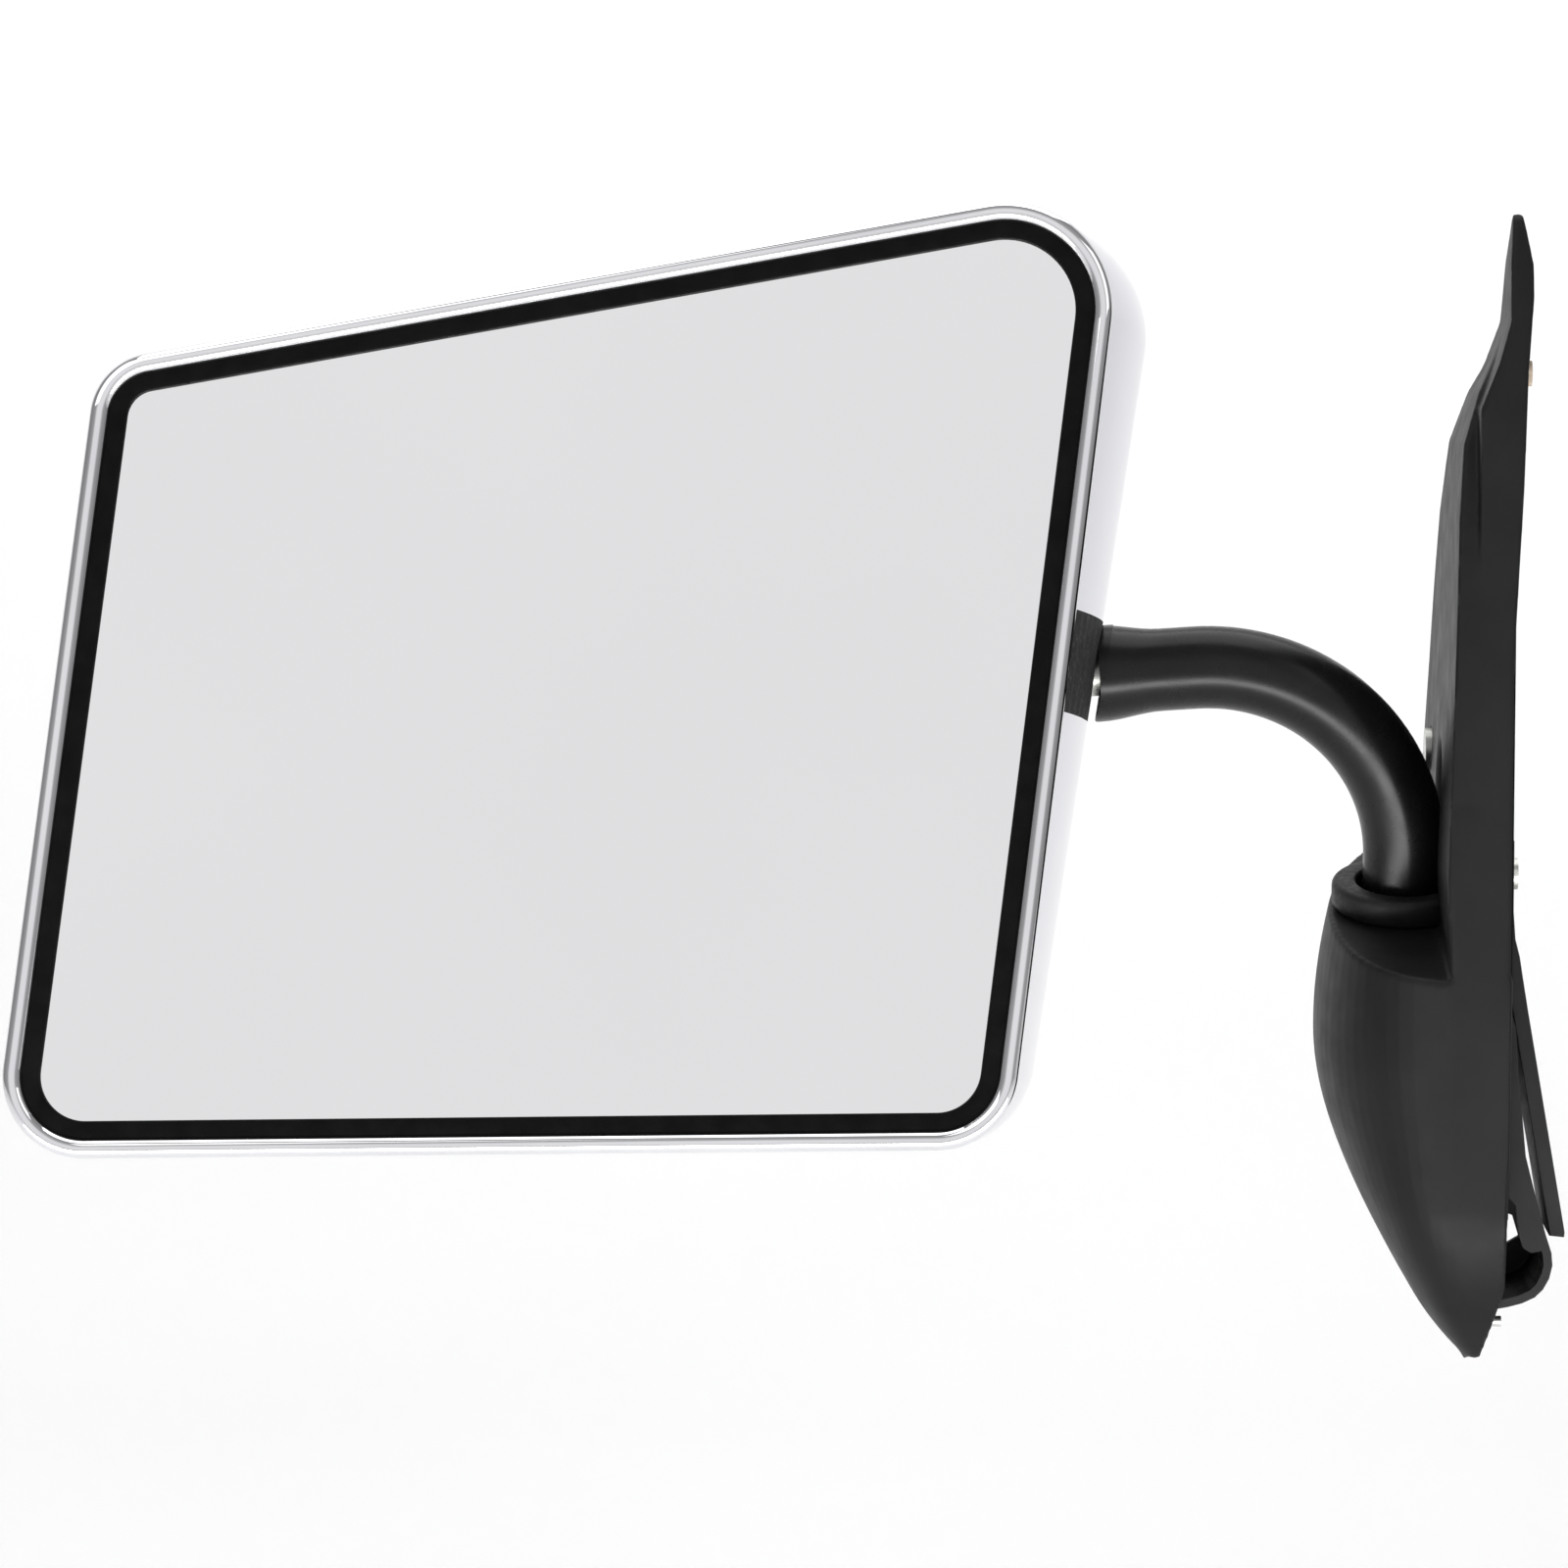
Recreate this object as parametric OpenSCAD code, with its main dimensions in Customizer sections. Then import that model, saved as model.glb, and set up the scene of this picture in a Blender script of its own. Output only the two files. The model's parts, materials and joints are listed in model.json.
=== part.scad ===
/* [Head outline] */
// Length of the head's lower edge
head_bottom = 198; // [190:1:204]
// Height of the head's inboard side
head_inboard_h = 190; // [182:1:192]
// Height of the head's outboard side
head_outboard_h = 157; // [152:1:162]
// Lean of both sides from upright, top towards the door
head_lean = 6.8; // [5:0.1:8]
// Rise of the lower edge towards the door
head_bottom_slope = 1; // [0:0.5:2]
// Radius of the head's three smaller corners
head_corner_r = 16; // [13:1:18]
// Radius of the head's upper inboard corner
head_top_corner_r = 21; // [18:1:23]
// Lean of the head's upright axis, glass facing up and back
head_pitch = 8; // [6:0.5:10]

/* [Head depth] */
// Distance from the ball's centre to the bezel's front face
bezel_reach = 44; // [44:0.5:46]
// Depth of the bezel's rim
bezel_depth = 9; // [8:0.5:10]
// Distance from the ball's centre to the back of the shell
shell_back = 31; // [31:1:36]
// Swell of the shell's outboard wall behind the bezel
flare_outboard = 5.4; // [5:0.2:7]
// Swell of the shell's inboard wall at its top
flare_inboard = 7; // [5:0.2:7]
// Thickness of the shell's wall
shell_wall = 1.2; // [1:0.1:2]

/* [Glass] */
// Width of the bezel's bead seen from the front
bead_w = 3.8; // [3:0.1:4.5]
// Width of the dark gasket seen inside the bead
gasket_w = 3.5; // [3:0.1:4]
// Thickness of the mirror glass
glass_t = 3; // [2:0.1:3.2]

/* [Arm] */
// Outer radius of the arm tube
arm_r = 8.3; // [8.2:0.05:8.35]
// Wall thickness of the arm tube
arm_wall = 1.5; // [1.2:0.1:1.8]
// Radius of the tube's flared end
arm_flare_r = 9.7; // [9:0.1:10]
// Centreline radius of the arm's bend
arm_bend_r = 40; // [38:0.5:42]
// Height of the bend's centre above the pivot ring
arm_bend_h = 6.3; // [5:0.1:8]
// Fall of the arm's level stretch towards the head
arm_fall = 4; // [3:0.5:5]
// Lean of the fold axis, top to the rear
fold_lean = 14; // [12:0.5:16]

/* [Ball joint] */
// Radius of the ball on the arm's end
ball_r = 11; // [10.5:0.1:11.2]
// Radius of the ball's neck
neck_r = 4.5; // [4:0.1:4.6]
// Thickness of the nylon liner round the ball
liner_t = 1.5; // [1.3:0.1:1.6]
// Running clearance on each side of the liner
ball_gap = 0.05; // [0.03:0.01:0.08]

/* [Base] */
// Height of the sail's tip above the fold pivot
sail_top = 134; // [130:1:136]
// Thickness of the sail's rear edge wall
sail_t = 11.6; // [11:0.2:12.2]
// Largest reach of the housing from the door face
housing_reach = 36.8; // [36:0.2:38]
// Wall thickness of the moulded cover
cover_wall = 2.5; // [2.2:0.1:2.8]
// Distance from the door face to the fold pivot
pivot_out = 19; // [18.6:0.1:19.4]

/* [Fastenings] */
// Thread core radius of the door fixing nuts
door_thread_r = 2.5; // [2.4:0.05:2.6]
// Diameter of the circle through the three door fixings
door_circle = 60; // [58:1:61]
// Thickness of the door strap's steel
strap_t = 1.8; // [1.6:0.1:2]
// Thickness of the door tongue's steel
tongue_t = 3; // [2.6:0.1:3.2]

/* [Hidden] */
$fn = 64;

// Colours
chrome_c = "gainsboro";
steel_c = "silver";
zinc_c = "lightgray";
black_c = "dimgray";
rubber_c = "darkslategray";
eps = 0.01;
overlap = 0.5;
swage = 0.05;
far = 300;

// Arm: the bend's end, the level stretch and the ball's place in the pivot's frame
arm_bore_r = arm_r - arm_wall;
level_start = [-arm_bend_r - arm_bend_r * sin(arm_fall), arm_bend_h + arm_bend_r * cos(arm_fall)];
ball_run = 41;
arm_end_run = ball_run - 22;
flare_run = 12;
plug_run = 14;
ball_pivot = level_start - ball_run * [cos(arm_fall), sin(arm_fall)];
ball_pos = [ball_pivot.x - pivot_out, -ball_pivot.y * sin(fold_lean), ball_pivot.y * cos(fold_lean)];

// Head face: lower inboard corner, then the four virtual corners anticlockwise from the lower outboard one
face_br = [4.6, -93.7];
face_bl = face_br - head_bottom * [cos(head_bottom_slope), sin(head_bottom_slope)];
face_tr = face_br + head_inboard_h * [sin(head_lean), cos(head_lean)];
face_tl = face_bl + head_outboard_h * [sin(head_lean), cos(head_lean)];
face = [face_bl, face_br, face_tr, face_tl];
face_r = [head_corner_r, head_corner_r, head_top_corner_r, head_corner_r - 3];
arc_steps = 8;

function unit(v) = v / norm(v);
function edge_out(k) =
    let (d = unit(face[(k + 1) % 4] - face[k % 4]))
    [d.y, -d.x];
// Shift of a corner whose two edges move out by p and q
function corner_shift(k, p, q) =
    let (m = edge_out(k + 3), n = edge_out(k), det = m.x * n.y - m.y * n.x)
    [(p * n.y - q * m.y) / det, (m.x * q - n.x * p) / det];
// Centre of the fillet at corner k for edge offsets p and q
function fillet_centre(k, p, q, r) = face[k] + corner_shift(k, p - r, q - r);
function angle_of(v) = atan2(v.y, v.x);
function turned(a, b) = b < a ? b + 360 : b;
// Points of the rounded face; offs holds the pair of edge offsets at each corner
function face_points(offs, radii, steps) = [
    for (k = [0:3])
        let (c = fillet_centre(k, offs[k][0], offs[k][1], radii[k]),
            a = angle_of(edge_out(k + 3)), b = turned(a, angle_of(edge_out(k))))
        for (i = [0:steps])
            let (t = a + (b - a) * i / steps)
            c + radii[k] * [cos(t), sin(t)]
];
function even(off) = [for (k = [0:3]) [off, off]];
function radii_at(off) = [for (r = face_r) max(r + off, 1)];

// The head's frame: ball centre at the origin, +Y away from the glass
module in_head() {
    translate(ball_pos)
        rotate([-head_pitch, 0, 0])
            children();
}

// The fold pivot's frame: +Z up the fold axis, origin at the ring's level
module in_pivot() {
    translate([-pivot_out, 0, 0])
        rotate([fold_lean, 0, 0])
            children();
}

// The frame of the arm's level stretch: +Z runs along the tube towards the ball
module in_arm_end() {
    in_pivot()
        translate([level_start.x, 0, level_start.y])
            rotate([0, -90 - arm_fall, 0])
                children();
}

// A slab of the head's face between two depths, its edge moved out by off
module face_slab(y0, y1, off) {
    translate([0, y1, 0])
        rotate([90, 0, 0])
            linear_extrude(height = y1 - y0)
                polygon(face_points(even(off), radii_at(off), arc_steps));
}

module face_ring(y0, y1, outer, inner) {
    difference() {
        face_slab(y0, y1, outer);
        face_slab(y0 - 1, y1 + 1, inner);
    }
}

// Closed skin through a list of rings that all have the same number of points
function ring_faces(levels, n) = [
    for (j = [0:levels - 2])
        for (i = [0:n - 1])
            let (a = j * n + i, b = j * n + (i + 1) % n)
            each [[a, b, b + n], [a, b + n, a + n]]
];
module loft(rings) {
    n = len(rings[0]);
    levels = len(rings);
    polyhedron(
        points = [for (r = rings) each r],
        faces = concat(
            ring_faces(levels, n),
            [[for (i = [n - 1:-1:0]) i]],
            [[for (i = [0:n - 1]) (levels - 1) * n + i]]),
        convexity = 6);
}

// Shell: a swelling front part, then a rounded back closed by a flat
bezel_front = -bezel_reach;
bezel_back = bezel_front + bezel_depth;
waist_run = 30;
waist_y = bezel_back + waist_run;
back_steps = 8;
back_turn = 80;
back_in = 52;
back_power = 1.3;
cap_fall = 2;
lean_share = 0.35;
shell_steps = 6;
swell_power = 1.5;
corner_growth = 14;
flat_in = 12;
// One ring of the shell at depth y: side swell s, pulled in, fall of top and bottom c, all moved in by t
function shell_ring(y, s, inset, c, grow, t) =
    let (left = flare_outboard * s - inset - t, right_top = flare_inboard * s - inset - t,
        right_low = flare_inboard * lean_share * s - inset - t, cap = -c - t,
        offs = [[left, cap], [cap, right_low], [right_top, cap], [cap, left]],
        radii = [for (r = face_r) max(r + grow - t, 4)])
    [for (p = face_points(offs, radii, arc_steps)) [p.x, y, p.y]];
function back_fall(a) = back_in * pow(1 - cos(a), back_power);
function shell_rings(t) = concat(
    [for (i = [0:shell_steps])
        let (u = i / shell_steps)
        shell_ring(bezel_back - (i == 0 && t > 0 ? 1 : 0) + waist_run * u, 1 - pow(1 - u, swell_power), 0,
            cap_fall * u * u, 0, t)],
    [for (i = [1:back_steps])
        let (a = back_turn * i / back_steps, fall = back_fall(a))
        shell_ring(waist_y + (shell_back - 2 - t - waist_y) * sin(a) / sin(back_turn),
            1, fall, cap_fall + fall, corner_growth * i / back_steps, t)],
    [shell_ring(shell_back - t, 1, back_fall(back_turn) + flat_in, cap_fall + back_fall(back_turn) + flat_in,
        corner_growth / 2, t)]);

module shell_outer() {
    loft(shell_rings(0));
}
module shell_inner(t) {
    loft(shell_rings(t));
}

// Notch in the inboard wall where the arm's neck goes in
notch_back = 8;
notch_half_h = 10;
notch_z = 1.4;
module notch(gap) {
    translate([0, bezel_back - 1, notch_z - notch_half_h + gap])
        cube([60, notch_back - bezel_back + 1 - gap, 2 * (notch_half_h - gap)]);
}

// Frame plate depths and the posts that carry it
frame_front = -12;
plate_front = -10;
plate_back = -8;
plate_t = plate_back - plate_front;
post_r = 6;
post_at = [[-120, -45], [-120, 12], [-25, -45], [-25, 45]];
screw_r = 2.4;
screw_len = 18;
module along_y(y0, y1, r) {
    translate([0, y0, 0])
        rotate([-90, 0, 0])
            cylinder(h = y1 - y0, r = r);
}
module at_posts() {
    for (p = post_at)
        translate([p.x, 0, p.y])
            children();
}

flange_t = 1.6;
flange_w = 6;
module head_shell() {
    color(chrome_c)
        in_head()
            difference() {
                union() {
                    difference() {
                        shell_outer();
                        shell_inner(shell_wall);
                    }
                    face_ring(bezel_back, bezel_back + flange_t, -0.6, -flange_w);
                    intersection() {
                        shell_inner(shell_wall / 2);
                        at_posts() along_y(plate_front, shell_back, post_r);
                    }
                }
                notch(0);
                at_posts() along_y(plate_front - 1, plate_front + screw_len, screw_r);
            }
}

// Bezel: a bead in front, then a rim whose back edge steps in as a seam
lip_t = 1.6;
rim_t = 1.4;
seam_w = 0.8;
bead_r = 1.2;
module head_bezel() {
    color(chrome_c)
        in_head() {
            face_ring(bezel_front, bezel_front + bead_r, -bead_r, -bead_w + 0.6);
            face_ring(bezel_front + bead_r, bezel_front + bead_r + lip_t, 0, -bead_w);
            face_ring(bezel_front + bead_r + lip_t, bezel_back - seam_w, 0, -rim_t);
            face_ring(bezel_back - seam_w, bezel_back, -seam_w, -rim_t);
        }
}

// Glass and the layers behind it
glass_front = bezel_front + 2.6;
glass_back = glass_front + glass_t;
pad_back = glass_back + 1;
backing_back = pad_back + 0.8;
glass_edge = -bead_w - 1.7;
module mirror_glass() {
    color("aliceblue")
        in_head()
            face_slab(glass_front, glass_back, glass_edge);
}
module glass_pad() {
    color(rubber_c)
        in_head()
            face_slab(glass_back, pad_back, glass_edge - 4);
}
module backing_plate() {
    color(steel_c)
        in_head()
            face_slab(pad_back, backing_back, glass_edge);
}
lip_front = bezel_front + bead_r + lip_t;
module glass_gasket() {
    color(rubber_c)
        in_head() {
            face_ring(glass_front - 1, glass_front, -bead_w, -bead_w - gasket_w);
            face_ring(lip_front, backing_back, -rim_t, glass_edge);
            face_ring(glass_front, lip_front, -bead_w, glass_edge);
        }
}

// Steel frame inside the shell
bolt_at = [[-20, 0], [2, 18], [2, -18]];
bolt_r = 2.5;
bolt_hole_r = 2.7;
frame_outline = [[-130, -55], [-15, -55], [-15, -27], [11, -27], [11, 27], [-15, 27], [-15, 55],
    [-35, 55], [-130, 22]];
frame_window_r = 17;
module at_bolts() {
    for (p = bolt_at)
        translate([p.x, 0, p.y])
            children();
}
module support_frame() {
    color(steel_c)
        in_head()
            difference() {
                translate([0, plate_front, 0])
                    rotate([90, 0, 0])
                        linear_extrude(height = plate_front - frame_front)
                            polygon(frame_outline);
                along_y(frame_front - 1, plate_back, ball_r + 1);
                at_bolts() along_y(frame_front - 1, plate_back, bolt_hole_r);
                at_posts() along_y(frame_front - 1, plate_back, screw_r + 0.2);
                for (x = [-97, -55])
                    translate([x, 0, -10])
                        along_y(frame_front - 1, plate_back, frame_window_r);
            }
}

// Socket plates: flat pressings with a round dimple that holds the ball
socket_r = ball_r + 2 * ball_gap + liner_t;
dimple_r = socket_r + 1.8;
plate_outline = [[-27, -8], [-4, -25], [6, -25], [9.5, -13], [9.5, 13], [6, 25], [-4, 25], [-27, 8]];
module dished_plate() {
    difference() {
        union() {
            translate([0, plate_back, 0])
                rotate([90, 0, 0])
                    linear_extrude(height = plate_t)
                        polygon(plate_outline);
            intersection() {
                sphere(r = dimple_r);
                translate([-far / 2, plate_back - far, -far / 2])
                    cube(far);
            }
        }
        sphere(r = socket_r);
        at_bolts() along_y(plate_front - 1, plate_back + 1, bolt_hole_r);
    }
}
module socket_plate() {
    color(steel_c)
        in_head()
            dished_plate();
}
module clamp_plate() {
    color(steel_c)
        in_head()
            mirror([0, 1, 0])
                dished_plate();
}
hex_r = 4.6;
bolt_head_h = 3.2;
clamp_back = -plate_front;
module clamp_bolts() {
    color(zinc_c)
        in_head()
            at_bolts() {
                translate([0, clamp_back, 0])
                    rotate([-90, 0, 0])
                        cylinder(h = bolt_head_h, r = hex_r, $fn = 6);
                along_y(frame_front - 13, clamp_back + eps, bolt_r);
            }
}

// A stack of dished spring washers, set nose to nose
disc_gap = 0.1;
module disc_stack(r_in, r_out, t, cone, count) {
    pitch = t + cone + disc_gap;
    for (i = [0:count - 1])
        translate([0, 0, i * pitch])
            rotate_extrude()
                if (i % 2 == 0)
                    polygon([[r_in, cone], [r_out, 0], [r_out, t], [r_in, cone + t]]);
                else
                    polygon([[r_in, 0], [r_out, cone], [r_out, cone + t], [r_in, t]]);
}
small_disc_t = 0.8;
small_disc_cone = 0.5;
small_disc_count = 4;
small_stack_h = small_disc_count * (small_disc_t + small_disc_cone + disc_gap);
module clamp_disc_springs() {
    color(zinc_c)
        in_head()
            at_bolts()
                translate([0, frame_front - disc_gap, 0])
                    rotate([90, 0, 0])
                        disc_stack(bolt_hole_r, 5, small_disc_t, small_disc_cone, small_disc_count);
}
clamp_nut_h = 4;
module clamp_nuts() {
    color(zinc_c)
        in_head()
            at_bolts()
                translate([0, frame_front - small_stack_h - 2 * disc_gap, 0])
                    rotate([90, 0, 0])
                        difference() {
                            cylinder(h = clamp_nut_h, r = hex_r, $fn = 6);
                            translate([0, 0, -1])
                                cylinder(h = clamp_nut_h + 2, r = bolt_r);
                        }
}
module frame_screws() {
    color(zinc_c)
        in_head()
            at_posts() {
                along_y(frame_front - 2.6, frame_front, 4.2);
                along_y(frame_front - eps, plate_front + screw_len - 2, screw_r);
            }
}

// Moulded insert that fills the notch round the neck
insert_t = 4;
swing_half = 2.6;
neck_gap = 0.9;
module shell_grommet() {
    color(rubber_c)
        in_head()
            difference() {
                intersection() {
                    difference() {
                        shell_outer();
                        shell_inner(insert_t);
                    }
                    notch(0.15);
                }
                for (s = [-1, 1])
                    translate([0, s * swing_half, notch_z])
                        rotate([0, 90, 0])
                            cylinder(h = 60, r = neck_r + neck_gap);
                translate([0, -swing_half, notch_z - neck_r - neck_gap])
                    cube([60, 2 * swing_half, 2 * (neck_r + neck_gap)]);
                translate([0, bezel_back - 2, notch_z - notch_half_h])
                    cube([60, 2, 2 * notch_half_h]);
            }
}

// Two nylon cups between the ball and the socket plates
liner_edge = 8.6;
module ball_liners() {
    color("ivory")
        in_head()
            difference() {
                sphere(r = ball_r + ball_gap + liner_t);
                sphere(r = ball_r + ball_gap);
                translate([-far / 2, -liner_edge, -far / 2])
                    cube([far, 2 * liner_edge, far]);
            }
}

// Arm: straight leg, bend and level stretch; the stretch is drawn a hair wider and ends in a flare
arm_foot = -34;
end_lean = 9;
end_reach = 22.9;
flare_start = arm_end_run - flare_run;
arm_end_cut = ball_run - 14;
module beyond_arm_end() {
    in_head()
        rotate([0, end_lean, 0])
            translate([end_reach - far, -far / 2, -far / 2])
                cube(far);
}
module arm_path(r, flare_r, start) {
    in_pivot() {
        translate([0, 0, start])
            cylinder(h = arm_bend_h - start, r = r);
        translate([-arm_bend_r, 0, arm_bend_h])
            rotate([90, 0, 0])
                rotate_extrude(angle = 90 + arm_fall)
                    translate([arm_bend_r, 0])
                        circle(r = r);
    }
    in_arm_end() {
        translate([0, 0, -overlap])
            cylinder(h = arm_end_cut, r = r + swage);
        if (flare_r > r) {
            translate([0, 0, flare_start])
                cylinder(h = flare_run, r1 = r + swage, r2 = flare_r);
            translate([0, 0, arm_end_run])
                cylinder(h = arm_end_cut - arm_end_run, r = flare_r);
        }
    }
}
module arm_tube() {
    color(black_c)
        difference() {
            arm_path(arm_r, arm_flare_r, arm_foot);
            arm_path(arm_bore_r, 0, arm_foot - 1);
            beyond_arm_end();
            pin_hole();
        }
}
stud_plug_top = -14;
pin_at = -20.5;
pin_r = 2;
module pin_hole() {
    in_pivot()
        translate([-far / 2, 0, pin_at])
            rotate([0, 90, 0])
                cylinder(h = far, r = pin_r);
}
module ball_stud() {
    color(steel_c) {
        difference() {
            in_arm_end()
                translate([0, 0, arm_end_run - plug_run + 3])
                    cylinder(h = plug_run + 8, r = arm_bore_r);
            beyond_arm_end();
        }
        in_arm_end() {
            translate([0, 0, ball_run - 24])
                cylinder(h = 24, r = neck_r);
            translate([0, 0, ball_run])
                sphere(r = ball_r);
        }
    }
}

// Fold pivot stack, named from the top down along the fold axis
washer_t = 1.5;
stack_gap = 0.1;
friction_top = arm_foot - stack_gap;
thrust_top = friction_top - washer_t - stack_gap;
big_disc_t = 1.1;
big_disc_cone = 0.6;
big_disc_count = 4;
springs_bottom = thrust_top - washer_t - big_disc_count * (big_disc_t + big_disc_cone + disc_gap);
seat_bottom = springs_bottom - stack_gap - washer_t;
nut_h = 6.5;
nut_r = 7.5;
nut_top = seat_bottom - stack_gap;
stud_r = 4;
stack_in = 4.2;
stack_out = 10.9;
disc_out = 10;
module stack_ring(top, h, r_in, r_out) {
    in_pivot()
        translate([0, 0, top - h])
            difference() {
                cylinder(h = h, r = r_out);
                translate([0, 0, -1])
                    cylinder(h = h + 2, r = r_in);
            }
}
module pivot_stud() {
    color(steel_c)
        difference() {
            in_pivot() {
                translate([0, 0, arm_foot])
                    cylinder(h = stud_plug_top - arm_foot, r = arm_bore_r);
                translate([0, 0, nut_top - nut_h - 2])
                    cylinder(h = arm_foot - nut_top + nut_h + 2 + eps, r = stud_r);
            }
            pin_hole();
        }
}
module stud_pin() {
    color(zinc_c)
        in_pivot()
            translate([-arm_r + 0.3, 0, pin_at])
                rotate([0, 90, 0])
                    cylinder(h = 2 * arm_r - 0.6, r = pin_r);
}
module friction_washer() {
    color("peru")
        stack_ring(friction_top, washer_t, stack_in, stack_out);
}
module thrust_washer() {
    color(zinc_c)
        stack_ring(thrust_top, washer_t, stack_in, stack_out);
}
module disc_springs() {
    color(steel_c)
        in_pivot()
            translate([0, 0, springs_bottom + disc_gap / 2])
                disc_stack(stack_in, disc_out, big_disc_t, big_disc_cone, big_disc_count);
}
module spring_seat() {
    color(zinc_c)
        stack_ring(springs_bottom - stack_gap, washer_t, stack_in, stack_out);
}
module lock_nut() {
    color(zinc_c)
        in_pivot()
            translate([0, 0, nut_top - nut_h])
                difference() {
                    rotate([0, 0, 30])
                        cylinder(h = nut_h, r = nut_r, $fn = 6);
                    translate([0, 0, -1])
                        cylinder(h = nut_h + 2, r = stud_r);
                }
}

// Base outlines as [forward, up], anticlockwise seen from inboard
rear_y = -42;
rim_x = -0.6;
leaf_x = -7.5;
frame_out = -4.6;
frame_in = -2.1;
loop_steps = 5;
leaf_outline = [[-36, sail_top], [-41, 112], [-42, 60], [-42, -20], [-40, -58], [-33, -80], [-24, -92],
    [-10, -92], [20, -78], [46, -52], [59, -20], [58, 14], [42, 52], [16, 88], [-14, 116], [-28, 130]];
body_outline = [[-42, -24], [20, -24], [48, -12], [45, 18], [32, 52], [12, 82], [-8, 104], [-22, 110],
    [-31, 102], [-38.5, 84], [-42, 58], [-42, 20]];
// Rear outlines as [outboard to inboard, up]
leaf_profile = [[-6.7, -98], [-6.7, -91], [-4.8, -86], [-3, -79], [rim_x, -74], [rim_x, 45], [0.2, 62.6],
    [1.1, 81.6], [1.7, 104], [2.7, 119], [2.6, 125], [0.3, 137], [-1.2, 137], [-1.8, 125], [-1.8, 114],
    [-4, 106], [leaf_x, 97], [leaf_x, -98]];
body_profile = [[rim_x, -24], [rim_x, 112], [-3, 109], [-7.4, 100], [-10.4, 90], [-11.3, 76], [-11.6, 62],
    [-11.9, 43], [-12.5, 24], [-13.1, 5], [-13, -24]];

// Smooth closed curve through points, with n steps from each point to the next
function knot(a, b, c, d, t) =
    0.5 * (2 * b + (c - a) * t + (2 * a - 5 * b + 4 * c - d) * t * t + (3 * b - a - 3 * c + d) * t * t * t);
function smooth_loop(p, n) =
    let (m = len(p))
    [for (k = [0:m - 1]) for (i = [0:n - 1])
        knot(p[(k + m - 1) % m], p[k], p[(k + 1) % m], p[(k + 2) % m], i / n)];
function inset_loop(p, t) =
    let (m = len(p))
    [for (k = [0:m - 1])
        let (d = unit(p[(k + 1) % m] - p[(k + m - 1) % m]))
        p[k] + t * [-d.y, d.x]];

// Extrudes an outline seen from the side between two distances from the door
module side_slab(x0, x1) {
    translate([x0, 0, 0])
        rotate([90, 0, 90])
            linear_extrude(height = x1 - x0)
                children();
}
// Extrudes an outline seen from the rear between two depths
module rear_slab(y0, y1) {
    translate([0, y1, 0])
        rotate([90, 0, 0])
            linear_extrude(height = y1 - y0)
                children();
}
module leaf_shape(t) {
    polygon(inset_loop(smooth_loop(leaf_outline, loop_steps), t));
}
module body_shape(t) {
    polygon(inset_loop(smooth_loop(body_outline, loop_steps), t));
}

// Housing: its reach, rear edge, front edge, rear wall and rim as functions of height
housing_wide_z = -29;
tip_z = -60;
open_x = 6;
function square_of(v) = v * v;
function reach_at(z) =
    let (d = abs(z - housing_wide_z), rate = z > housing_wide_z ? 0.4 : 0.75)
    housing_reach - rate * (sqrt(d * d + 37 * 37) - 37);
function rear_at(z) = rear_y + 18 * square_of(max(0, tip_z - z) / 36);
function front_at(z) = 48 - 64 * pow(max(0, -15 - z) / 81, 2.2);
function wall_at(z) = 12.6 + 0.03 * z - 2.5 * square_of(max(0, tip_z - z) / 32);
function rim_at(z) = rim_x - 5.2 * max(0, -76 - z) / 20;
bulge_steps = 14;
front_lip = 3;
function housing_ring(z, t) =
    let (wall = wall_at(z) - t, y0 = rear_at(z) + t, y1 = front_at(z) - t,
        bulge = reach_at(z) - t - (wall + front_lip) / 2, inner = t > 0 ? open_x : rim_at(z))
    concat(
        [[inner, y0, z]],
        [for (i = [0:bulge_steps])
            let (a = 180 * i / bulge_steps, u = i / bulge_steps)
            [-(wall + (front_lip - wall) * u + bulge * pow(sin(a), 0.8)), y0 + (y1 - y0) * (1 - cos(a)) / 2, z]],
        [[inner, y1, z]]);
housing_levels = [-92, -87, -82, -76, -69, -61, -52, -43, -34, -25, -15, -5, 6, 15];
cavity_low = -83;
module housing_form(t) {
    loft([for (z = housing_levels) if (t == 0 || z > cavity_low) housing_ring(z, t)]);
}
top_face = -4.2;
module below_top(t) {
    in_pivot()
        translate([-far / 2, -far / 2, top_face - t - far])
            cube(far);
}

// Room in the sail's face for the ring and for the arm's leg
ring_in = 9.6;
ring_out = 14.5;
ring_top = 1.2;
ring_flat = -8;
leg_room = 1.6;
leg_room_top = 24;
module leg_recess(grow) {
    intersection() {
        in_pivot()
            translate([0, 0, top_face - grow])
                cylinder(h = ring_top + 0.4 - top_face + 2 * grow, r = ring_out + 0.4 + grow);
        translate([-far + ring_flat + 0.3 + grow, -far / 2, -far / 2])
            cube(far);
    }
    in_pivot() {
        translate([0, 0, top_face - grow])
            cylinder(h = leg_room_top - top_face + grow, r = arm_r + leg_room + grow);
        translate([0, 0, leg_room_top])
            sphere(r = arm_r + leg_room + grow);
    }
}

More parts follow.
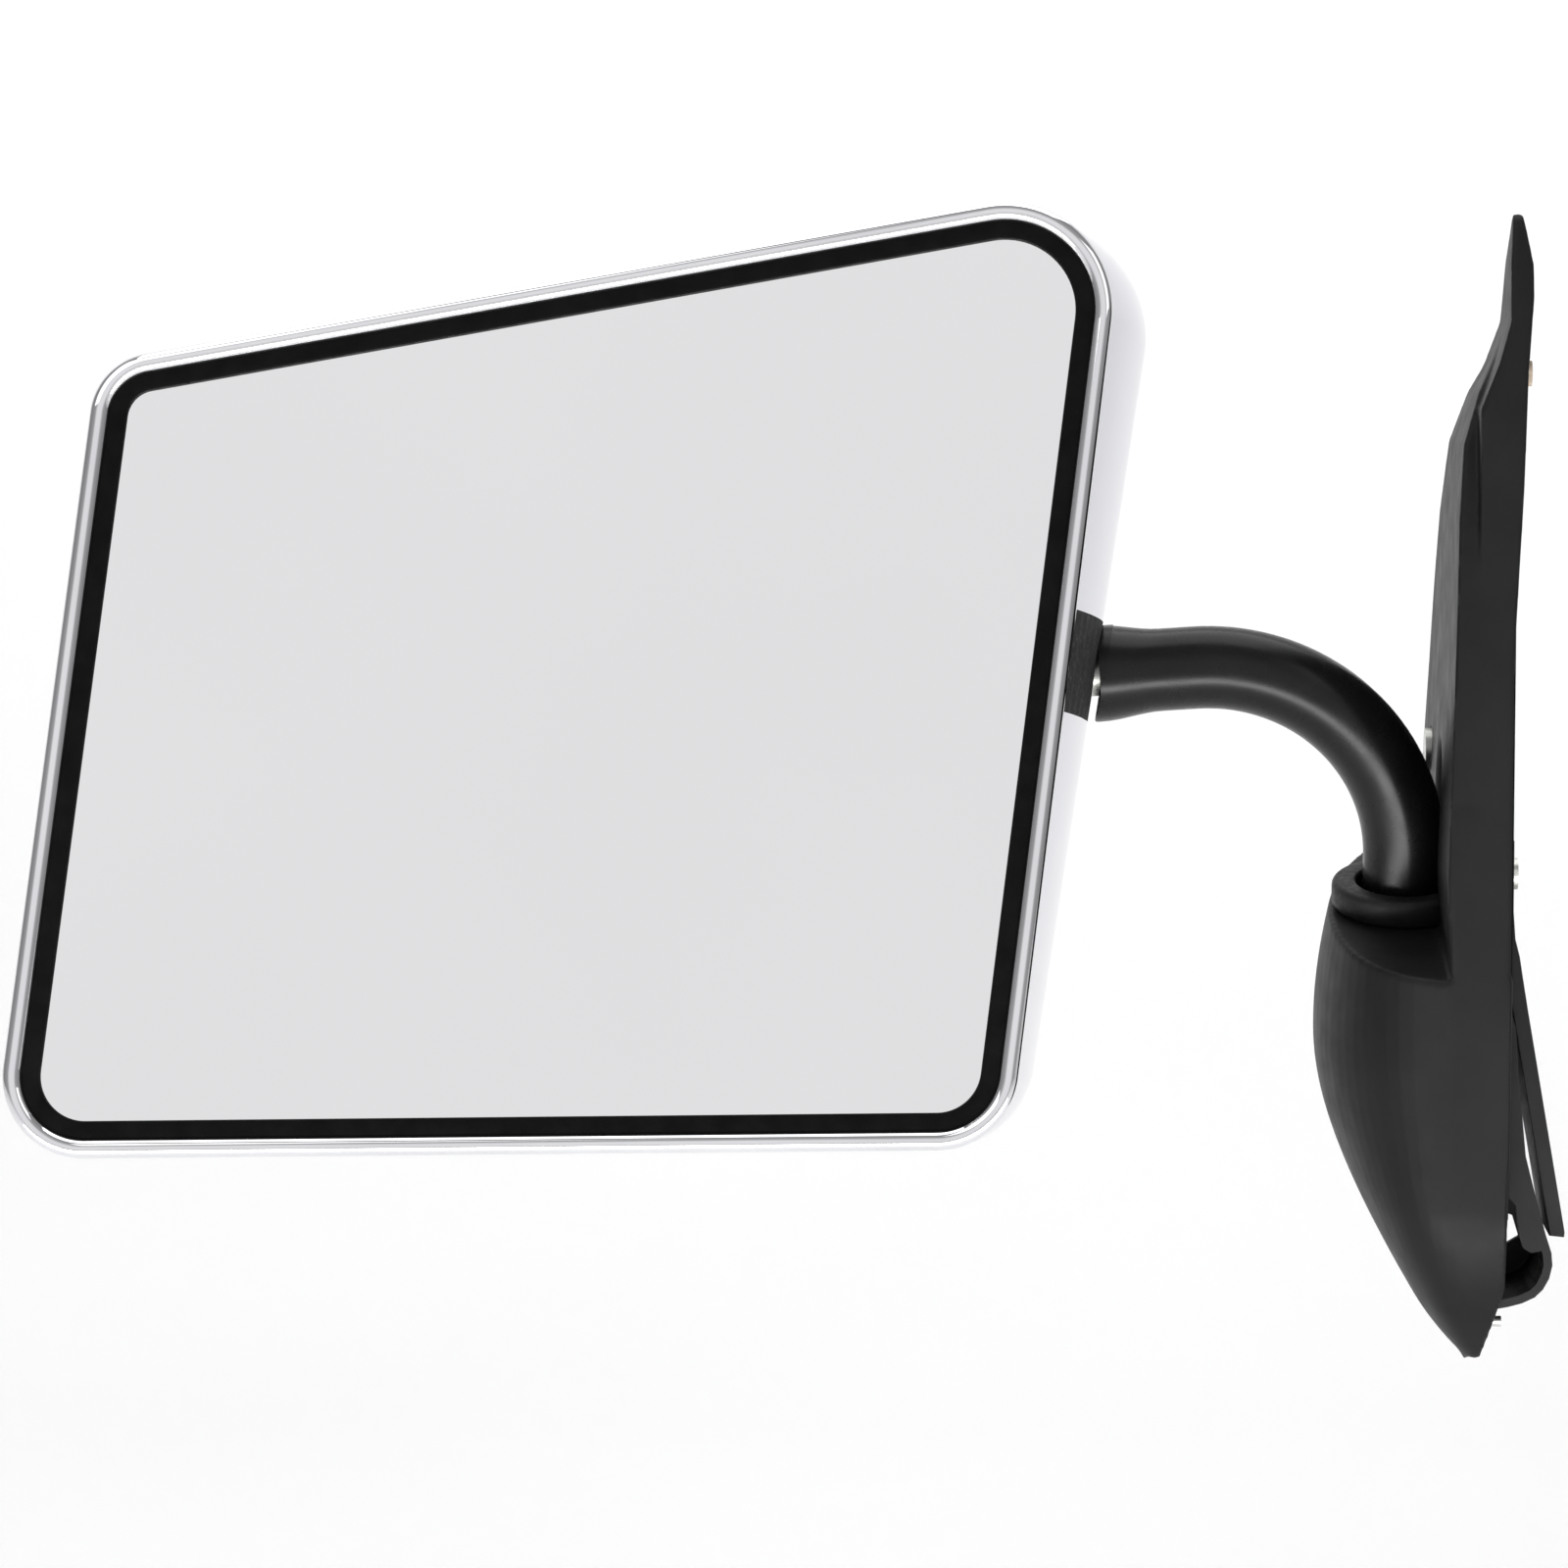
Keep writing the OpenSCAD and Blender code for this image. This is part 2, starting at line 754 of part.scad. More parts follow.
// Places of the cover's screws, the door fixings and the frame's rivets, as [forward, up]
cover_screw_at = [[-28, 72], [38, 8], [2, -66]];
cover_boss_r = 4;
cover_screw_r = 1.5;
cover_screw_end = -8.5;
fixing_centre = [10, 20];
fixing_at = [for (a = [60, 180, 300]) fixing_centre + door_circle / 2 * [cos(a), sin(a)]];
lower_screw_at = [-20, -85.8];
lower_screw_r = 1.1;
pad_at = [-35, 104];
pad_r = 2.5;
cap_at = [21, 26];
cap_r = 4.4;
module along_x(at, x0, x1, r) {
    translate([x0, at.x, at.y])
        rotate([0, 90, 0])
            cylinder(h = x1 - x0, r = r);
}
module cover_outer() {
    intersection() {
        side_slab(-20, 5) leaf_shape(0);
        rear_slab(rear_y, 70) polygon(leaf_profile);
    }
    intersection() {
        side_slab(-20, 5) body_shape(0);
        rear_slab(rear_y, 70) polygon(body_profile);
    }
    intersection() {
        housing_form(0);
        below_top(0);
    }
}
module cover_inner() {
    difference() {
        union() {
            intersection() {
                side_slab(leaf_x + cover_wall, open_x) leaf_shape(cover_wall);
                translate([-far / 2, rear_y + cover_wall, -82])
                    cube([far, far, 82 + 94]);
            }
            intersection() {
                side_slab(-20, open_x) body_shape(cover_wall);
                rear_slab(rear_y + cover_wall, 70)
                    polygon([for (p = body_profile) [p.x > -5 ? open_x : p.x + cover_wall, min(p.y, 97)]]);
            }
        }
        leg_recess(cover_wall);
    }
    intersection() {
        housing_form(cover_wall);
        below_top(cover_wall);
    }
}
module base_cover() {
    color(black_c)
        difference() {
            union() {
                difference() {
                    cover_outer();
                    cover_inner();
                }
                intersection() {
                    cover_outer();
                    for (p = cover_screw_at)
                        along_x(p, -40, frame_out, cover_boss_r);
                }
            }
            leg_recess(0);
            in_pivot()
                translate([0, 0, top_face - 5])
                    cylinder(h = 10, r = arm_r + leg_room);
            for (p = cover_screw_at)
                along_x(p, cover_screw_end - 1, 0, cover_screw_r);
            along_x(lower_screw_at, -7, 5, lower_screw_r);
            along_x(pad_at, 0.7, 5, pad_r);
            along_x(cap_at, -20, -11.2, cap_r);
        }
}

// Steel frame behind the cover, and the soft pad against the door
frame_low = -76;
frame_high = 92;
fixing_hole_r = 3.3;
module at_height(z0, z1) {
    translate([-far / 2, -far / 2, z0])
        cube([far, far, z1 - z0]);
}
rivet_r = 2;
housing_rivet_at = [[-15.5, -12], [11, -12], [-15.5, -37], [11, -37]];
module rivet_holes() {
    in_pivot()
        for (p = housing_rivet_at)
            translate([0, p.x, p.y])
                rotate([0, 90, 0])
                    cylinder(h = 40, r = rivet_r);
}
strap_rivet_at = [[-25, 5], [-11, 5]];
module base_frame() {
    color(steel_c)
        difference() {
            intersection() {
                side_slab(frame_out, frame_in) leaf_shape(cover_wall + 0.6);
                at_height(frame_low, frame_high);
            }
            for (p = fixing_at)
                along_x(p, -10, 5, fixing_hole_r);
            for (p = cover_screw_at)
                along_x(p, -10, 5, cover_screw_r);
            for (p = strap_rivet_at)
                along_x(p, -10, 5, rivet_r);
            rivet_holes();
        }
}
gasket_high = 57;
module base_gasket() {
    color(rubber_c)
        difference() {
            intersection() {
                side_slab(frame_in, 0) leaf_shape(cover_wall + 0.6);
                at_height(frame_low, gasket_high);
            }
            for (p = fixing_at)
                along_x(p, -10, 5, 6);
            for (p = cover_screw_at)
                along_x(p, -10, 5, 4);
            in_pivot()
                for (p = housing_rivet_at)
                    translate([0, p.x, p.y])
                        rotate([0, 90, 0])
                            cylinder(h = 40, r = 4);
            side_slab(-10, 5)
                polygon([[-36, -90], [-2.5, -90], [-2.5, 13], [-36, 13]]);
        }
}
weld_nut_h = 4;
weld_nut_r = 5.6;
module weld_nuts() {
    color(zinc_c)
        for (p = fixing_at)
            difference() {
                translate([frame_out - weld_nut_h, p.x, p.y])
                    rotate([0, 90, 0])
                        cylinder(h = weld_nut_h, r = weld_nut_r, $fn = 6);
                along_x(p, -12, 0, door_thread_r);
            }
}

// Cast housing: barrel, foot plate and the web between them
barrel_low = arm_foot + 0.3;
barrel_high = -7.2;
barrel_r = 11.5;
bushing_out = 10;
bushing_len = 8;
foot_out = pivot_out + frame_out;
foot_t = 2.2;
web_w = 14.8;
module pivot_housing() {
    color(zinc_c)
        difference() {
            in_pivot()
                difference() {
                    union() {
                        translate([0, 0, barrel_low])
                            cylinder(h = barrel_high - barrel_low, r = barrel_r);
                        translate([0, -web_w / 2, barrel_low])
                            cube([foot_out - foot_t / 2, web_w, barrel_high - barrel_low]);
                        translate([foot_out - foot_t, -20, -41])
                            cube([foot_t, 35, 33]);
                    }
                    translate([0, 0, barrel_low - 1])
                        cylinder(h = barrel_high - barrel_low + 2, r = bushing_out);
                }
            rivet_holes();
        }
}
module bushing(low) {
    in_pivot()
        translate([0, 0, low])
            difference() {
                cylinder(h = bushing_len, r = bushing_out);
                translate([0, 0, -1])
                    cylinder(h = bushing_len + 2, r = arm_r + 0.05);
            }
}
module upper_bushing() {
    color("ivory")
        bushing(barrel_high - bushing_len);
}
module lower_bushing() {
    color("ivory")
        bushing(barrel_low);
}
module pivot_ring() {
    color(rubber_c)
        intersection() {
            in_pivot()
                rotate_extrude()
                    polygon([[ring_in, top_face], [ring_out - 0.6, top_face], [ring_out, top_face + 0.8],
                        [ring_out, ring_top - 1.4], [ring_out - 0.5, ring_top - 0.4],
                        [ring_out - 1.5, ring_top], [ring_in + 0.5, ring_top], [ring_in, ring_top - 0.5]]);
            translate([ring_flat - far, -far / 2, -far / 2])
                cube(far);
        }
}
module housing_rivets() {
    color(zinc_c)
        in_pivot()
            for (p = housing_rivet_at)
                translate([0, p.x, p.y])
                    rotate([0, 90, 0]) {
                        translate([0, 0, foot_out - foot_t - 1.2])
                            cylinder(h = 1.2, r = 3.2);
                        translate([0, 0, foot_out - foot_t - 1])
                            cylinder(h = foot_t + frame_in - frame_out + 1, r = rivet_r);
                    }
}
module cover_screws() {
    color(zinc_c)
        for (p = cover_screw_at) {
            along_x(p, frame_in, frame_in + 1.6, 3);
            along_x(p, cover_screw_end, frame_in + eps, cover_screw_r);
        }
}

// Steel strap and tongue that reach round the door's edge
strap_rear = -34;
strap_front = -8;
strap_face = [[frame_in + strap_t, -15.5], [frame_in + strap_t, -18], [0.1, -20.6], [1.3, -24.8], [2, -34.6],
    [3.5, -50.2], [5.5, -58], [7.6, -65.8], [8.8, -69.5], [9, -72], [8.4, -74.6], [7.2, -76.8], [5.6, -78.4], [3.1, -79.6], [0.2, -80.4],
    [-2.6, -80.9]];
function normal_at(p, k) =
    let (d = unit(p[min(k + 1, len(p) - 1)] - p[max(k - 1, 0)]))
    [d.y, -d.x];
function ribbon(p, t) = concat(p, [for (k = [len(p) - 1:-1:0]) p[k] + t * normal_at(p, k)]);
near_web = [[-2.1, -20.6], [0.4, -22], [1.2, -26], [1.9, -35], [3.4, -50.4], [5.4, -58.2], [7.4, -66],
    [7.7, -67.6], [6.6, -69.2], [4.7, -69.5], [3.1, -68.5], [2.3, -66], [1.6, -60], [-2.1, -56]];
far_web = [[-2.1, -22], [0.6, -23], [1.2, -26], [1.9, -35], [3.4, -50.4], [5.4, -58.2], [7.4, -66],
    [8.6, -70], [8.7, -72], [8, -74.6], [6.6, -76.8], [3, -79], [-2.1, -80.4], [-2.1, -74], [0, -72.9],
    [4.3, -70.3], [3, -66], [-2.1, -64]];
module door_strap() {
    color(black_c) {
        rear_slab(strap_rear, strap_front)
            polygon(ribbon(strap_face, strap_t));
        rear_slab(strap_rear, strap_rear + strap_t)
            polygon(near_web);
        rear_slab(strap_front - strap_t, strap_front)
            polygon(far_web);
    }
}
tongue_face = [[frame_in + tongue_t, 12], [frame_in + tongue_t, -2], [1.3, -7.5], [2.2, -11], [3, -16],
    [4, -22], [11.7, -66], [11.6, -67]];
module door_tongue() {
    color(black_c)
        difference() {
            rear_slab(-30, -4)
                polygon(ribbon(tongue_face, tongue_t));
            for (p = strap_rivet_at)
                along_x(p, -10, 5, rivet_r);
        }
}
module strap_rivets() {
    color(zinc_c)
        for (p = strap_rivet_at) {
            along_x(p, frame_out - 1.2, frame_out, 3.2);
            along_x(p, frame_out - eps, frame_in + tongue_t + eps, rivet_r);
            along_x(p, frame_in + tongue_t, frame_in + tongue_t + 1, 3.2);
        }
}
module lower_screw() {
    color(zinc_c)
        along_x(lower_screw_at, -7, 0.1, lower_screw_r);
}
module leaf_pad() {
    color("tan")
        along_x(pad_at, 0.7, 2.7, pad_r);
}
module access_cap() {
    color(steel_c)
        along_x(cap_at, -13.6, -11.2, cap_r);
}

head_shell();
head_bezel();
mirror_glass();
glass_gasket();
glass_pad();
backing_plate();
support_frame();
socket_plate();
clamp_plate();
clamp_bolts();
clamp_disc_springs();
clamp_nuts();
frame_screws();
shell_grommet();
ball_liners();
arm_tube();
ball_stud();
pivot_stud();
stud_pin();
friction_washer();
thrust_washer();
disc_springs();
spring_seat();
lock_nut();
base_cover();
base_gasket();
base_frame();
pivot_housing();
upper_bushing();
lower_bushing();
pivot_ring();
weld_nuts();
housing_rivets();
cover_screws();
door_strap();
door_tongue();
strap_rivets();
lower_screw();
leaf_pad();
access_cap();
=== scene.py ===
"""Looks of the car side mirror: a chromed head, a bent black arm and a moulded base.

Shapes are worked out in millimetres, as in the CAD, and mesh_object turns them into metres.
"""

import json
import math
from functools import reduce
from itertools import product

import bmesh
import bpy
import numpy as np
from mathutils import Matrix, Vector


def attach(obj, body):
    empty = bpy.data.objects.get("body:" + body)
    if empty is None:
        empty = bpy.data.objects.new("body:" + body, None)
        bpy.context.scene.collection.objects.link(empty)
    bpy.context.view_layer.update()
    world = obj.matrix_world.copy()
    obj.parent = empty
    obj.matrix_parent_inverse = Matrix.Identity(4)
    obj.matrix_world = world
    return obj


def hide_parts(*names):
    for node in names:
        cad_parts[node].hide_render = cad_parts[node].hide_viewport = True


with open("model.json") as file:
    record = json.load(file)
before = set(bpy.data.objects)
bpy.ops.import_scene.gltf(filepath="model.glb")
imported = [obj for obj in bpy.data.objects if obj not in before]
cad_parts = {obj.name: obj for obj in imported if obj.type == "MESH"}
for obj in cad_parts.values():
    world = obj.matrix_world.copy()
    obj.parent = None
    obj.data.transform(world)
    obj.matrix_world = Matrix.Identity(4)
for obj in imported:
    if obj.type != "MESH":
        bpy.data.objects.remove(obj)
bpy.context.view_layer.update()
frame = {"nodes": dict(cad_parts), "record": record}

MM = 0.001

# ---------------------------------------------------------------- places, in millimetres

PIVOT_OUT = 19                      # the fold axis, outboard of the door's face
FOLD_LEAN = math.radians(14)
HEAD_PITCH = math.radians(8)
ARM_R, ARM_BORE = 8.3, 6.8
ARM_FALL = math.radians(4)
BEND_R, BEND_H = 40, 6.3
BALL_RUN = 41                       # from the end of the arm's bend to the head's ball
TOP_FACE = -4.2                     # the housing's top, along the fold axis
LEVEL_START = np.array([-BEND_R - BEND_R * math.sin(ARM_FALL), 0, BEND_H + BEND_R * math.cos(ARM_FALL)])
LEVEL_WAY = np.array([-math.cos(ARM_FALL), 0, -math.sin(ARM_FALL)])


def in_pivot(p):
    """Points of the fold pivot's frame, +Z up the fold axis, in the part's frame."""
    p = np.asarray(p, float)
    c, s = math.cos(FOLD_LEAN), math.sin(FOLD_LEAN)
    return np.stack([p[..., 0] - PIVOT_OUT, p[..., 1] * c - p[..., 2] * s, p[..., 1] * s + p[..., 2] * c], -1)


BALL = in_pivot(LEVEL_START + BALL_RUN * LEVEL_WAY)


def in_head(p):
    """Points of the head's frame, [x, away from the glass, up], in the part's frame."""
    p = np.asarray(p, float)
    c, s = math.cos(HEAD_PITCH), math.sin(HEAD_PITCH)
    return np.stack([p[..., 0], p[..., 1] * c + p[..., 2] * s, p[..., 2] * c - p[..., 1] * s], -1) + BALL


# ---------------------------------------------------------------- meshes

def mesh_object(name, points, faces, sharp):
    """A smooth-shaded object from points in millimetres, with edges over `sharp` degrees kept crisp."""
    me = bpy.data.meshes.new(name)
    corners = [tuple(p) for p in np.asarray(points, float) * MM]
    me.from_pydata(corners, [], [tuple(int(i) for i in f) for f in faces])
    me.validate()
    me.update()
    me.polygons.foreach_set("use_smooth", [True] * len(me.polygons))
    me.set_sharp_from_angle(angle=math.radians(sharp))
    obj = bpy.data.objects.new(name, me)
    bpy.context.scene.collection.objects.link(obj)
    return obj


def swept_faces(levels, n):
    """Quads between rings of n points each, with the last ring joined to the first."""
    faces = []
    for j in range(levels):
        a, b = j * n, ((j + 1) % levels) * n
        for i in range(n):
            k = (i + 1) % n
            faces.append((a + i, a + k, b + k, b + i))
    return faces


def arc(cx, cy, r, a0, a1, n):
    """n points of a circle, from a0 to a1 degrees."""
    return [(cx + r * math.cos(a), cy + r * math.sin(a)) for a in np.radians(np.linspace(a0, a1, n))]


# ---------------------------------------------------------------- the head's outline

HEAD_BOTTOM, HEAD_IN_H, HEAD_OUT_H = 198, 190, 157
HEAD_LEAN = math.radians(6.8)
BOTTOM_SLOPE = math.radians(1)
CORNER_STEPS = 24
LOW_IN = np.array([4.6, -93.7])     # the lower inboard corner of the face
LOW_OUT = LOW_IN - HEAD_BOTTOM * np.array([math.cos(BOTTOM_SLOPE), math.sin(BOTTOM_SLOPE)])
SIDE_WAY = np.array([math.sin(HEAD_LEAN), math.cos(HEAD_LEAN)])
FACE = [LOW_OUT, LOW_IN, LOW_IN + HEAD_IN_H * SIDE_WAY, LOW_OUT + HEAD_OUT_H * SIDE_WAY]
FACE_R = [16, 16, 21, 13]           # corner radii, in the order of FACE


def edge_out(k):
    """The outward direction of the face's edge that leaves corner k."""
    d = FACE[(k + 1) % 4] - FACE[k % 4]
    d = d / np.linalg.norm(d)
    return np.array([d[1], -d[0]])


def face_arcs(offs, radii):
    """The four corner arcs of the face, with the pair of edge offsets at each corner."""
    arcs = []
    for k in range(4):
        m, n, r = edge_out(k + 3), edge_out(k), radii[k]
        p, q = offs[k][0] - r, offs[k][1] - r
        det = m[0] * n[1] - m[1] * n[0]
        centre = FACE[k] + np.array([(p * n[1] - q * m[1]) / det, (m[0] * q - n[0] * p) / det])
        a, b = math.atan2(m[1], m[0]), math.atan2(n[1], n[0])
        b = b + 2 * math.pi if b < a else b
        t = np.linspace(a, b, CORNER_STEPS + 1)
        arcs.append(centre + r * np.stack([np.cos(t), np.sin(t)], 1))
    return arcs


def at_depth(outline, y):
    """An outline of the face as points at depth y behind the ball."""
    return np.stack([outline[:, 0], np.full(len(outline), y), outline[:, 1]], 1)


def face_sweep(name, profile):
    """A closed profile of (offset, depth) pairs carried round the face's outline."""
    rings = [at_depth(np.concatenate(face_arcs([[off, off]] * 4, [max(r + off, 1) for r in FACE_R])), y)
             for off, y in profile]
    return mesh_object(name, in_head(np.concatenate(rings)), swept_faces(len(rings), len(rings[0])), 40)


# ---------------------------------------------------------------- shell

BEZEL_BACK, WAIST_Y, SHELL_BACK = -35, -5, 31
SHELL_WALL = 1.2
SWELL_OUTBOARD, SWELL_INBOARD = 5.4, 7.0
SWELL_LOW = 0.35                    # the lower inboard corner's share of the inboard swell
SWELL_POWER = 1.5
NOTCH_LOW, NOTCH_HIGH, NOTCH_BACK = -8.6, 11.4, 8
NOTCH_CLEAR = 2
NO_NOTCH = (0, 0.35, 0.65, 1)       # how the inboard edge divides where it is too short for the notch
EDGE_STEPS = 6
WAIST_RINGS, NOTCH_RINGS, BACK_RINGS = 13, 9, 14
WAIST_FALL = 2
BACK_TURN = math.radians(80)
BACK_DROP, BACK_POWER = 52, 1.3
BACK_CROWN = 2
CORNER_GROWTH, SMALLEST_CORNER = 14, 4
END_RINGS = [(0.5, 5, 11), (0, 12, 7)]    # short of the back, further in, corner growth


def shell_ring(y, swell, inset, fall, grow, wall):
    """One ring of the shell, with points on its inboard edge at both sides of the notch."""
    outboard = SWELL_OUTBOARD * swell - inset - wall
    high_in = SWELL_INBOARD * swell - inset - wall
    low_in = SWELL_INBOARD * SWELL_LOW * swell - inset - wall
    cap = -fall - wall
    offs = [[outboard, cap], [cap, low_in], [high_in, cap], [cap, outboard]]
    arcs = face_arcs(offs, [max(r + grow - wall, SMALLEST_CORNER) for r in FACE_R])
    low, high = arcs[1][-1], arcs[2][0]
    heights = [low[1], NOTCH_LOW, NOTCH_HIGH, high[1]]
    if not (low[1] + NOTCH_CLEAR < NOTCH_LOW and NOTCH_HIGH + NOTCH_CLEAR < high[1]):
        heights = [low[1] + (high[1] - low[1]) * u for u in NO_NOTCH]
    zs = np.concatenate([np.linspace(a, b, EDGE_STEPS + 1)[1:] for a, b in zip(heights, heights[1:])])[:-1]
    edge = np.stack([low[0] + (high[0] - low[0]) * (zs - low[1]) / (high[1] - low[1]), zs], 1)
    return at_depth(np.concatenate([arcs[0], arcs[1], edge, arcs[2], arcs[3]]), y)


def back_fall(turn):
    """How far the crowned back has drawn in where its surface has turned by this angle."""
    return BACK_DROP * (1 - math.cos(turn)) ** BACK_POWER


def depth_rows():
    """Each ring's depth, swell, inset, fall and corner growth, from the bezel to the crowned back."""
    rows = []
    for y in np.linspace(BEZEL_BACK, WAIST_Y, WAIST_RINGS):
        u = (y - BEZEL_BACK) / (WAIST_Y - BEZEL_BACK)
        rows.append((y, 1 - (1 - u) ** SWELL_POWER, 0, WAIST_FALL * u * u, 0))
    depth = SHELL_BACK - BACK_CROWN - WAIST_Y
    notch_turn = math.asin((NOTCH_BACK - WAIST_Y) / depth * math.sin(BACK_TURN))
    to_notch = np.linspace(0, notch_turn, NOTCH_RINGS)[1:]
    to_back = np.linspace(notch_turn, BACK_TURN, BACK_RINGS)[1:]
    for a in [*to_notch, *to_back]:
        y = WAIST_Y + depth * math.sin(a) / math.sin(BACK_TURN)
        rows.append((y, 1, back_fall(a), WAIST_FALL + back_fall(a), CORNER_GROWTH * a / BACK_TURN))
    return rows


def shell_rings(wall):
    """The rings of one skin of the shell: wall is 0 for the outer one and its thickness for the inner."""
    rings = []
    for y, swell, inset, fall, grow in depth_rows():
        if y >= WAIST_Y:
            y = y - wall * (y - WAIST_Y) / (SHELL_BACK - WAIST_Y)
        rings.append(shell_ring(y, swell, inset, fall, grow, wall))
    end = back_fall(BACK_TURN)
    for short, further, grow in END_RINGS:
        inset, fall = end + further, WAIST_FALL + end + further
        rings.append(shell_ring(SHELL_BACK - short - wall, 1, inset, fall, grow, wall))
    return rings


def build_shell():
    """Both skins of the shell, joined at its mouth and round the notch that the arm passes through."""
    rings = shell_rings(0) + shell_rings(SHELL_WALL)
    n, levels = len(rings[0]), len(rings) // 2
    inner, last = levels * n, (levels - 1) * n
    low_i = 2 * (CORNER_STEPS + 1) + EDGE_STEPS - 1
    high_i = low_i + EDGE_STEPS
    notch_j = next(j for j, row in enumerate(depth_rows()) if abs(row[0] - NOTCH_BACK) < 1e-6)
    notch = {(j, i) for j in range(notch_j) for i in range(low_i, high_i)}
    faces = []
    for j, i in product(range(levels - 1), range(n)):
        if (j, i) not in notch:
            k, a, b = (i + 1) % n, j * n, (j + 1) * n
            faces.append((a + i, a + k, b + k, b + i))
            faces.append((inner + a + i, inner + b + i, inner + b + k, inner + a + k))
    for i in range(n):
        if (0, i) not in notch:
            k = (i + 1) % n
            faces.append((i, inner + i, inner + k, k))
    for j in range(notch_j):
        for i, flip in ((low_i, False), (high_i, True)):
            a, b = j * n + i, (j + 1) * n + i
            side = (a, b, inner + b, inner + a)
            faces.append(side[::-1] if flip else side)
    for i in range(low_i, high_i):
        a = notch_j * n + i
        faces.append((a, a + 1, inner + a + 1, inner + a))
    faces.append(tuple(last + i for i in range(n)))
    faces.append(tuple(inner + last + i for i in reversed(range(n))))
    return mesh_object("shell_skin", in_head(np.concatenate(rings)), faces, 30)


# ---------------------------------------------------------------- arm tube and ring

ARM_FOOT = -34
ARM_SIDES = 72
FOOT_RINGS, BEND_RINGS, LEVEL_RINGS, FLARE_RINGS = 12, 40, 4, 9
END_LEAN, END_REACH = math.radians(9), 21.9
FLARE_START, FLARE_RUN, FLARE_R = 7, 12, 9.7
ROLL = 0.5
LIP_TURNS = [0, 22, 45, 68, 90]

RING_FLAT = -8
RING_SIDES = 96
RING_SECTION = [(9.6, TOP_FACE), (13.9, TOP_FACE), (14.5, -3.4)]
RING_SECTION += arc(13.1, -0.2, 1.4, 0, 80, 7) + arc(10.4, 0.4, 0.8, 100, 180, 6)


def arm_stations():
    """Centre, direction and radius of each ring from the foot to the flare, in the pivot's frame."""
    rows = [((0, 0, z), (0, 0, 1), ARM_R) for z in np.linspace(ARM_FOOT, BEND_H, FOOT_RINGS)]
    for a in np.linspace(0, math.pi / 2 + ARM_FALL, BEND_RINGS)[1:]:
        centre = (-BEND_R + BEND_R * math.cos(a), 0, BEND_H + BEND_R * math.sin(a))
        rows.append((centre, (-math.sin(a), 0, math.cos(a)), ARM_R))
    for run in np.linspace(0, FLARE_START, LEVEL_RINGS)[1:]:
        rows.append((LEVEL_START + run * LEVEL_WAY, LEVEL_WAY, ARM_R))
    for u in np.linspace(0, 1, FLARE_RINGS)[1:]:
        centre = LEVEL_START + (FLARE_START + FLARE_RUN * u) * LEVEL_WAY
        rows.append((centre, LEVEL_WAY, ARM_R + (FLARE_R - ARM_R) * u * u * (3 - 2 * u)))
    return rows


def tube_ring(centre, direction, r):
    """A ring of the tube, square to its direction."""
    d = np.array(direction) / np.linalg.norm(direction)
    side = np.array([0.0, 1.0, 0.0])
    up = np.cross(side, d)
    t = np.linspace(0, 2 * math.pi, ARM_SIDES, endpoint=False)
    return np.array(centre) + r * (np.outer(np.cos(t), side) + np.outer(np.sin(t), up))


def to_end_plane(ring, back):
    """Slides pivot-frame points along the level stretch to the leaning end plane, less a setback."""
    points = in_pivot(ring)
    way = in_pivot(LEVEL_WAY) - in_pivot([0, 0, 0])
    normal = in_head([math.cos(END_LEAN), 0, -math.sin(END_LEAN)]) - BALL
    past = (points - BALL) @ normal - END_REACH - back
    return points - np.outer(past / (way @ normal), way)


def build_arm():
    """The tube's outside, the rounded lip of its flared end, and its bore back to the foot."""
    rows = arm_stations()
    end, way, _ = rows[-1]
    lip = [(FLARE_R - ROLL * (1 - math.cos(a)), ROLL * (1 - math.sin(a))) for a in np.radians(LIP_TURNS)]
    lip += [(ARM_BORE + ROLL, 0), (ARM_BORE, ROLL)]
    rings = [in_pivot(tube_ring(*row)) for row in rows]
    rings += [to_end_plane(tube_ring(end, way, r), back) for r, back in lip]
    rings += [in_pivot(tube_ring(centre, way, ARM_BORE)) for centre, way, _ in rows[::-1]]
    return mesh_object("arm_pipe", np.concatenate(rings), swept_faces(len(rings), ARM_SIDES), 40)


def build_ring():
    """The rubber ring round the arm's foot, cut flat beside the sail."""
    t = np.linspace(0, 2 * math.pi, RING_SIDES, endpoint=False)
    rings = [np.stack([r * np.cos(t), r * np.sin(t), np.full(RING_SIDES, h)], 1) for r, h in RING_SECTION]
    obj = mesh_object("ring_rubber", in_pivot(np.concatenate(rings)), swept_faces(len(rings), RING_SIDES), 40)
    bm = bmesh.new()
    bm.from_mesh(obj.data)
    geom = bm.verts[:] + bm.edges[:] + bm.faces[:]
    flat = (RING_FLAT * MM, 0, 0)
    cut = bmesh.ops.bisect_plane(bm, geom=geom, plane_co=flat, plane_no=(1, 0, 0), clear_outer=True)
    bmesh.ops.edgeloop_fill(bm, edges=[e for e in cut["geom_cut"] if isinstance(e, bmesh.types.BMEdge)])
    bmesh.ops.recalc_face_normals(bm, faces=bm.faces[:])
    bm.to_mesh(obj.data)
    bm.free()
    return obj


# ---------------------------------------------------------------- base cover, the skin of a distance field

